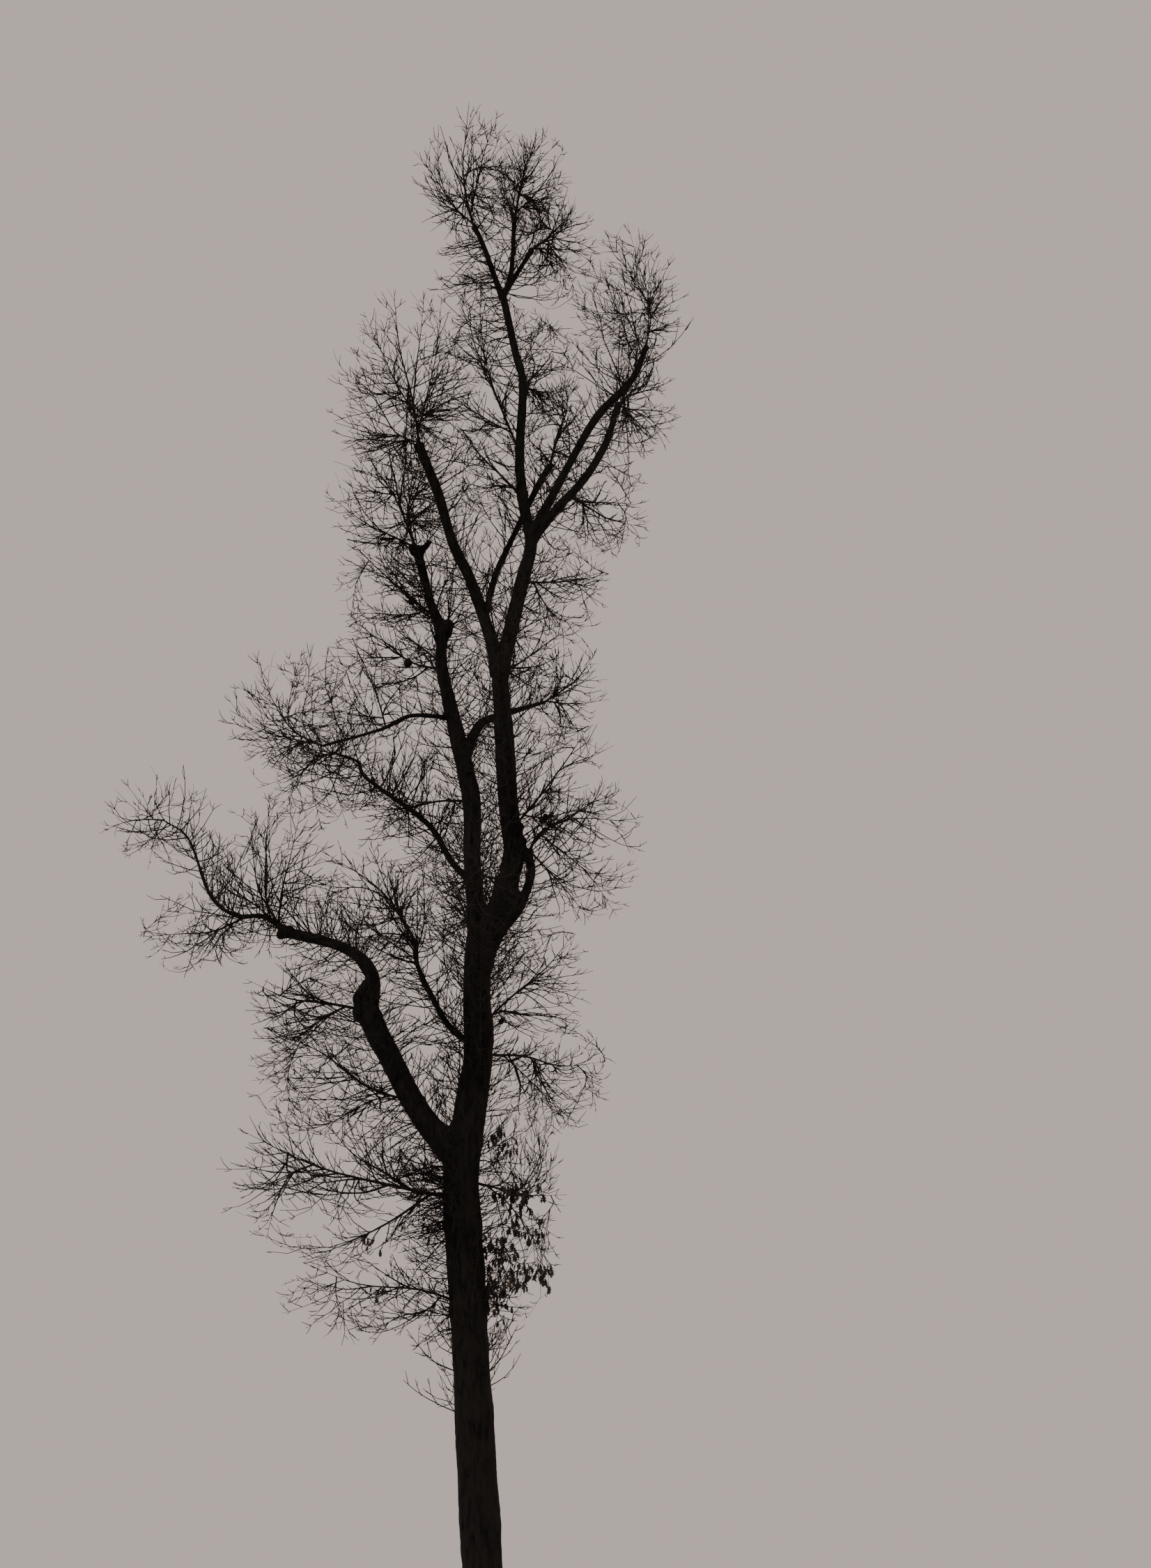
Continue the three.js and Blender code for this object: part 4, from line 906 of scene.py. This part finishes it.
def makeBark(name, settings, lines, tree, material):
    random = np.random.default_rng(settings["seed"])
    parts = []
    for limb in settings["limbs"]:
        parts.append(limbSkin(limb, lines[limb], random))
        parts += knotsOf(limb, lines[limb], random)
        parts += [ball(np.array(burr["place"]), burr["size"], burrRule["tall"])
                  for burr in burrs if burr["limb"] == limb]
    points, faces = [], []
    for partPoints, partFaces in parts:
        start = len(points)
        points += partPoints.tolist()
        faces += [tuple(start + i for i in face) for face in partFaces]
    skins = meshObject(name + "_skins", points, [], faces)
    remesh = skins.modifiers.new("join", "REMESH")
    remesh.mode, remesh.voxel_size = "VOXEL", settings["voxel"]
    smooth = skins.modifiers.new("soften", "SMOOTH")
    smooth.factor, smooth.iterations = skinFinish["soften"], skinFinish["softenings"]
    applyTree(skins, tree, {
        "Ridge Depth": settings["relief"], "Bump Depth": settings["bumps"], "Material": material})
    piece = plainMesh(skins, name, material)
    for vertex in piece.data.vertices:
        if vertex.co.z < skinFinish["flatBelow"]:
            vertex.co.z = 0
    return piece


# Materials
# Painted shade: the bark's furrow, ridge and algae colours are its own pattern, but all are painted
# near black, far darker than bark is, so the trunk stays as dark as a tree lit from behind.
barkAndShadeLook = dict(
    furrow=(0.003, 0.0026, 0.0023), ridge=(0.016, 0.013, 0.0112), algae=(0.013, 0.0145, 0.0098),
    roughness=0.93, shine=0.15, stretch=(9, 9, 2.1), ridges=(1.6, 8, 0.62),
    ridgeStops=(0.38, 0.5, 0.66), middle=0.55, patches=(0.9, 3), algaeStops=(0.5, 0.68),
    patchStops=(0.48, 0.7), algaeMost=0.45, grain=(60, 4), grainStops=(0.35, 0.65), grainDark=0.7,
    grainHeight=0.25, bump=(0.55, 0.03))
twigLook = dict(
    old=(0.007, 0.006, 0.005), young=(0.018, 0.013, 0.011), roughness=0.85, shine=0.2,
    patches=(3, 4), stops=(0.35, 0.65), fine=(90, 3), bump=(0.3, 0.003))
leafLook = dict(roughness=0.75, shine=0.5, patches=(34, 5), stops=(0.35, 0.62), veinDark=0.6,
                bump=(0.4, 0.004))
leafColours = {
    "withered_leaf_dark": (0.016, 0.010, 0.007),
    "withered_leaf_brown": (0.030, 0.018, 0.011),
    "withered_leaf_tan": (0.055, 0.034, 0.020),
}


def grey(tone):
    return (tone, tone, tone)


class Finish:
    # a material, and the few nodes that this tree's finishes are made of
    def __init__(self, name, look):
        self.material = bpy.data.materials.new(name)
        self.material.use_nodes = True
        self.nodes, self.link = self.material.node_tree.nodes, self.material.node_tree.links.new
        self.nodes.clear()
        self.shader = self.add("ShaderNodeBsdfPrincipled", {
            "Roughness": look["roughness"], "Specular IOR Level": look["shine"]})
        self.where = self.add("ShaderNodeTexCoord").outputs["Object"]
        self.link(self.shader.outputs[0], self.add("ShaderNodeOutputMaterial").inputs[0])

    def add(self, kind, values=None):
        node = self.nodes.new(kind)
        for label, value in (values or {}).items():
            node.inputs[label].default_value = value
        return node

    def noise(self, vector, scale, detail, roughness=0.55):
        node = self.add("ShaderNodeTexNoise", {
            "Scale": scale, "Detail": detail, "Roughness": roughness})
        self.link(vector, node.inputs["Vector"])
        return node.outputs["Fac"]

    def ramp(self, factor, stops, *colours):
        node = self.add("ShaderNodeValToRGB")
        while len(node.color_ramp.elements) < len(stops):
            node.color_ramp.elements.new(0.5)
        for element, place, colour in zip(node.color_ramp.elements, stops, colours):
            element.position = place
            element.color = (*colour, 1)
        self.link(factor, node.inputs[0])
        return node.outputs[0]

    def blend(self, first, second, factor=None, kind="MIX"):
        # without a factor, the second colour counts in full
        node = self.add("ShaderNodeMix")
        node.data_type, node.blend_type = "RGBA", kind
        if factor is None:
            node.inputs[0].default_value = 1
        else:
            self.link(factor, node.inputs[0])
        self.link(first, node.inputs[6])
        self.link(second, node.inputs[7])
        return node.outputs[2]

    def paint(self, colour):
        self.link(colour, self.shader.inputs["Base Color"])

    def bump(self, height, strength, distance):
        node = self.add("ShaderNodeBump", {"Strength": strength, "Distance": distance})
        self.link(height, node.inputs["Height"])
        self.link(node.outputs[0], self.shader.inputs["Normal"])


def patchyFinish(name, look, first, second):
    # a finish that drifts from one colour to the other, and what it drifts by
    finish = Finish(name, look)
    patches = finish.noise(finish.where, *look["patches"])
    finish.paint(finish.ramp(patches, look["stops"], first, second))
    return finish, patches


def makeBarkMaterial():
    look = barkAndShadeLook
    finish = Finish("trunk_bark", look)
    stretched = finish.add("ShaderNodeMapping", {"Scale": look["stretch"]})
    finish.link(finish.where, stretched.inputs["Vector"])
    ridges = finish.noise(stretched.outputs[0], *look["ridges"])
    grain = finish.noise(finish.where, *look["grain"])
    patches = finish.noise(finish.where, *look["patches"])
    middle = tuple(between(tones, look["middle"]) for tones in zip(look["furrow"], look["ridge"]))
    # painted shade: the furrow, ridge and algae colours are kept near black, darker than the bark
    # itself, for a trunk lit from behind
    colour = finish.ramp(ridges, look["ridgeStops"], look["furrow"], middle, look["ridge"])
    algae = finish.ramp(patches, look["algaeStops"], look["ridge"], look["algae"])
    spread = finish.ramp(patches, look["patchStops"], grey(0), grey(look["algaeMost"]))
    speckle = finish.ramp(grain, look["grainStops"], grey(look["grainDark"]), grey(1))
    mixed = finish.blend(colour, algae, spread)
    finish.paint(finish.blend(mixed, speckle, kind="MULTIPLY"))
    height = finish.add("ShaderNodeMath")
    height.operation = "MULTIPLY_ADD"
    finish.link(grain, height.inputs[0])
    height.inputs[1].default_value = look["grainHeight"]
    finish.link(ridges, height.inputs[2])
    finish.bump(height.outputs[0], *look["bump"])
    return finish.material


def makeTwigMaterial():
    finish, _ = patchyFinish("twigs", twigLook, twigLook["old"], twigLook["young"])
    finish.bump(finish.noise(finish.where, *twigLook["fine"]), *twigLook["bump"])
    return finish.material


def makeLeafMaterial(name, colour):
    dark = tuple(part * leafLook["veinDark"] for part in colour)
    finish, veins = patchyFinish(name, leafLook, dark, colour)
    finish.bump(veins, *leafLook["bump"])
    return finish.material


# Withered leaves: where the sprays hang, how far each spreads, and how many leaves it has.
leafSprays = [
    ((0.2, 0.3, 9.41), (0.34, 0.5, 0.32), 48),
    ((0.45, 0.3, 8.55), (0.42, 0.5, 0.3), 120),
    ((0.5, 0.3, 8.02), (0.4, 0.5, 0.26), 60),
    ((0.14, 0.3, 7.75), (0.34, 0.5, 0.28), 60),
    ((0.25, 0.3, 7.05), (0.5, 0.7, 0.6), 210),
    ((0.75, 0.3, 7.2), (0.42, 0.6, 0.4), 80),
    ((-1.9, -0.5, 7.72), (0.22, 0.6, 0.16), 12),
    ((-1.14, -0.5, 7.95), (0.28, 0.6, 0.18), 12),
    ((-1.78, -0.5, 6.88), (0.22, 0.6, 0.18), 10),
]
leafDealing = ((0.5, 0.35, 0.15), (0.3, 0.5, 0.2))  # shares of the three browns, spray by spray
leafHang = dict(spots=12, first=0.15, blurred=(0.15, 1.25), roll=0.6, droop=(0.6, 1.55),
                size=(0.65, 1.2))
leafShape = dict(length=0.13, width=0.068, thick=0.0016,
                 curl=(0.6, 0.5), fold=(0.25, 0.2),  # of the first leaf, and more for each next one
                 outline=((0, 0.06), (0.16, 0.3), (0.28, 0.2), (0.42, 0.5), (0.55, 0.28), (0.7, 0.42),
                          (0.82, 0.2), (1, 0)))


def makeLeaf(name, number):
    # a lobed blade, folded along its rib and curled at the tip, closed and thin
    shape = leafShape
    curl, fold = [shape[key][0] + shape[key][1] * number for key in ("curl", "fold")]
    rib, left, right = [], [], []
    for along, wide in shape["outline"]:
        bend = curl * along
        x = math.sin(bend) / curl * shape["length"]
        drop = (1 - math.cos(bend)) / curl * shape["length"]
        y, rise = wide * shape["width"], wide * fold * shape["width"]
        rib.append((x, 0, -drop))
        left.append((x, y, rise - drop))
        right.append((x, -y, rise - drop))
    last = len(rib) - 1
    top = rib + left[:last] + right[:last]
    points = top + [(x, y, z - shape["thick"]) for x, y, z in top]
    size = len(top)
    # both edges meet the rib at the tip
    leftIds, rightIds = [[*range(first, first + last), last] for first in (last + 1, 2 * last + 1)]
    faces = []
    for i in range(last):
        for face in ((i, i + 1, leftIds[i + 1], leftIds[i]), (i + 1, i, rightIds[i], rightIds[i + 1])):
            face = tuple(dict.fromkeys(face))
            faces.append(face)
            faces.append(tuple(size + corner for corner in reversed(face)))
        for a, b in ((leftIds[i], leftIds[i + 1]), (rightIds[i + 1], rightIds[i])):
            faces.append((a, b, size + b, size + a))
    for a, b in ((0, leftIds[0]), (rightIds[0], 0)):
        faces.append((a, size + a, size + b, b))
    return meshObject(name, points, [], faces)


def makeLeafTree():
    tree, add, link, given = startTree("leaf_sprays", {
        "Places": ("Geometry", None), "Leaf": ("Object", None), "Material": ("Material", None)})
    leaf, toPoints, place = [add("GeometryNode" + kind) for kind in (
        "ObjectInfo", "MeshToPoints", "InstanceOnPoints")]
    link(given["Places"], toPoints.inputs["Mesh"])
    link(given["Leaf"], leaf.inputs["Object"])
    link(toPoints.outputs[0], place.inputs["Points"])
    link(leaf.outputs["Geometry"], place.inputs["Instance"])
    link(namedAttribute(add, "turn", "FLOAT_VECTOR"), place.inputs["Rotation"])
    link(namedAttribute(add, "size", "FLOAT"), place.inputs["Scale"])
    return finishTree(tree, place.outputs[0], given["Material"])


def makeLeaves(name, rows, leaf, tree, material):
    spots, turns, sizes = zip(*rows)
    places = meshObject(name + "_places", [spot.tolist() for spot in spots], [], [])
    turn = places.data.attributes.new("turn", "FLOAT_VECTOR", "POINT")
    turn.data.foreach_set("vector", np.array(turns, np.float32).ravel())
    size = places.data.attributes.new("size", "FLOAT", "POINT")
    size.data.foreach_set("value", np.array(sizes, np.float32))
    applyTree(places, tree, {"Leaf": leaf, "Material": material})
    return plainMesh(places, name, material)


def leafRows(twigs, random):
    # leaves hang from the twigs that pass through a spray's space
    names = list(leafColours)
    rows = {name: [] for name in names}
    which = np.repeat(np.arange(len(twigs.length)), leafHang["spots"])
    share = random.uniform(leafHang["first"], 1, len(which))
    spots = twigs.at(which, share)
    for number, (centre, half, count) in enumerate(leafSprays):
        away = (((spots - np.array(centre)) / np.array(half)) ** 2).sum(1)
        near = away < random.uniform(*leafHang["blurred"], len(away))
        chosen = random.permutation(np.flatnonzero(near))[:count]
        for i in chosen:
            name = names[random.choice(len(names), p=leafDealing[number % 2])]
            roll = random.uniform(-leafHang["roll"], leafHang["roll"])
            turn = (roll, random.uniform(*leafHang["droop"]), random.uniform(0, 2 * math.pi))
            rows[name].append((spots[i], turn, random.uniform(*leafHang["size"])))
    return rows


# Camera, light and floor
cameraSettings = dict(place=(1.35, -60, 1.6), pitch=12.9, lens=85, sensor=36, farthest=2000)
lightSettings = dict(sky=(0.60, 0.51, 0.475), skyStrength=0.95, sunEnergy=1.0, sunAngle=18,
                     sunTurn=(48, 8, -32))
floorSettings = dict(radius=420, sides=96, colour=(0.72, 0.72, 0.70), dark=0.97, roughness=0.9,
                     shine=0.5, patches=(0.4, 4), stops=(0.3, 0.7))


def makeCamera():
    settings = cameraSettings
    camera = bpy.data.objects.new("camera", bpy.data.cameras.new("camera"))
    camera.data.lens, camera.data.sensor_width = settings["lens"], settings["sensor"]
    camera.data.clip_end = settings["farthest"]
    camera.location = settings["place"]
    camera.rotation_euler = (math.radians(90 + settings["pitch"]), 0, 0)
    bpy.context.scene.collection.objects.link(camera)
    bpy.context.scene.camera = camera


def makeLight():
    settings = lightSettings
    sun = bpy.data.objects.new("soft_sun", bpy.data.lights.new("soft_sun", "SUN"))
    sun.data.energy = settings["sunEnergy"]
    sun.data.angle = math.radians(settings["sunAngle"])
    sun.rotation_euler = [math.radians(turn) for turn in settings["sunTurn"]]
    bpy.context.scene.collection.objects.link(sun)
    world = bpy.data.worlds.new("sky")
    world.use_nodes = True
    background = world.node_tree.nodes["Background"]
    background.inputs["Color"].default_value = (*settings["sky"], 1)
    background.inputs["Strength"].default_value = settings["skyStrength"]
    bpy.context.scene.world = world


def makeFloor():
    settings = floorSettings
    turns = [i * 2 * math.pi / settings["sides"] for i in range(settings["sides"])]
    radius = settings["radius"]
    rim = [(math.cos(turn) * radius, math.sin(turn) * radius, 0) for turn in turns]
    floor = meshObject("floor", rim, [], [tuple(range(settings["sides"]))])
    pale = settings["colour"]
    darker = tuple(part * settings["dark"] for part in pale)
    finish, _ = patchyFinish("pale_floor", settings, darker, pale)
    floor.data.materials.append(finish.material)


makeCamera()
makeLight()
makeFloor()
print("stage ready")

barkMaterial, twigMaterial = makeBarkMaterial(), makeTwigMaterial()
limbLines = {name: Line(path) for name, path in limbs.items()}
strandTree, reliefTree, leafTree = makeStrandTree(), makeReliefTree(), makeLeafTree()
made = []

for name, settings in barkSkins.items():
    piece = makeBark(name, settings, limbLines, reliefTree, barkMaterial)
    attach(piece, body)
    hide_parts(*settings["limbs"])
    made.append(piece)
print("bark ready")

stems, shoots, sides, fines = [], [], [], []
for seed, mass in enumerate(masses.values(), 1):
    random = np.random.default_rng(seed)
    massStems = growStems(mass, limbLines[mass["limb"]], seed)
    massShoots = growShoots(mass, massStems, seed)
    side = joinedTwigs([sprout(massShoots, mass["space"], random, sideTwigs),
                        sprout(stretchesOf(massStems), mass["space"], random, stemTwigs)])
    stems += massStems
    shoots.append(massShoots)
    sides.append(side)
    fines.append(sprout(side, mass["space"], random, fineTwigs))
wholeTree = ((0, 0, 14), (30, 30, 30))  # a space that holds all of it
random = np.random.default_rng(seeds["sprouts"])
limbGrowth = joinedTwigs([growLimbShoots(limbLines, [mass["space"] for mass in masses.values()]),
                          growThickets(limbLines), growBurrTwigs(limbLines)])
limbSides = sprout(limbGrowth, wholeTree, random, limbSideTwigs)
grown = {
    "shoots": joinedTwigs(shoots), "side_twigs": joinedTwigs(sides), "fine_twigs": joinedTwigs(fines),
    "limb_shoots": limbGrowth, "limb_side_twigs": limbSides,
    "limb_fine_twigs": sprout(limbSides, wholeTree, random, fineTwigs)}
print("grown:", {name: len(twigs.length) for name, twigs in grown.items()})

kinks = np.random.default_rng(seeds["kinks"])
for name in ("stems", *grown):
    if name == "stems":
        rows, corners = stemStrands(stems), strandSizes["stemCorners"]
    else:
        rows, corners = [strandsOf(grown[name], kinks, **strandRules[name])], strandSizes["corners"]
    parts = math.ceil(strandTriangles(rows, corners) / strandSizes["mostTriangles"])
    for part in range(parts):
        some = [(places[part::parts], radii[part::parts]) for places, radii in rows]
        label = name if parts == 1 else "%s_%d" % (name, part + 1)
        piece = strandPiece(label, some, corners, strandTree, twigMaterial)
        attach(piece, body)
        if name == "stems":
            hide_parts(*masses)
        made.append(piece)
        print(label, len(piece.data.polygons))

leafy = [grown[name] for name in ("shoots", "side_twigs", "limb_shoots", "limb_side_twigs")]
rowsByColour = leafRows(joinedTwigs(leafy), np.random.default_rng(seeds["leaves"]))
for number, (name, colour) in enumerate(leafColours.items()):
    leaf = makeLeaf(name + "_blade", number)
    piece = makeLeaves(name, rowsByColour[name], leaf, leafTree, makeLeafMaterial(name, colour))
    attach(piece, body)
    made.append(piece)
    print(name, len(rowsByColour[name]))
    bpy.data.objects.remove(leaf)

print("pieces", len(made), "triangles", sum(
    sum(len(polygon.vertices) - 2 for polygon in piece.data.polygons) for piece in made))
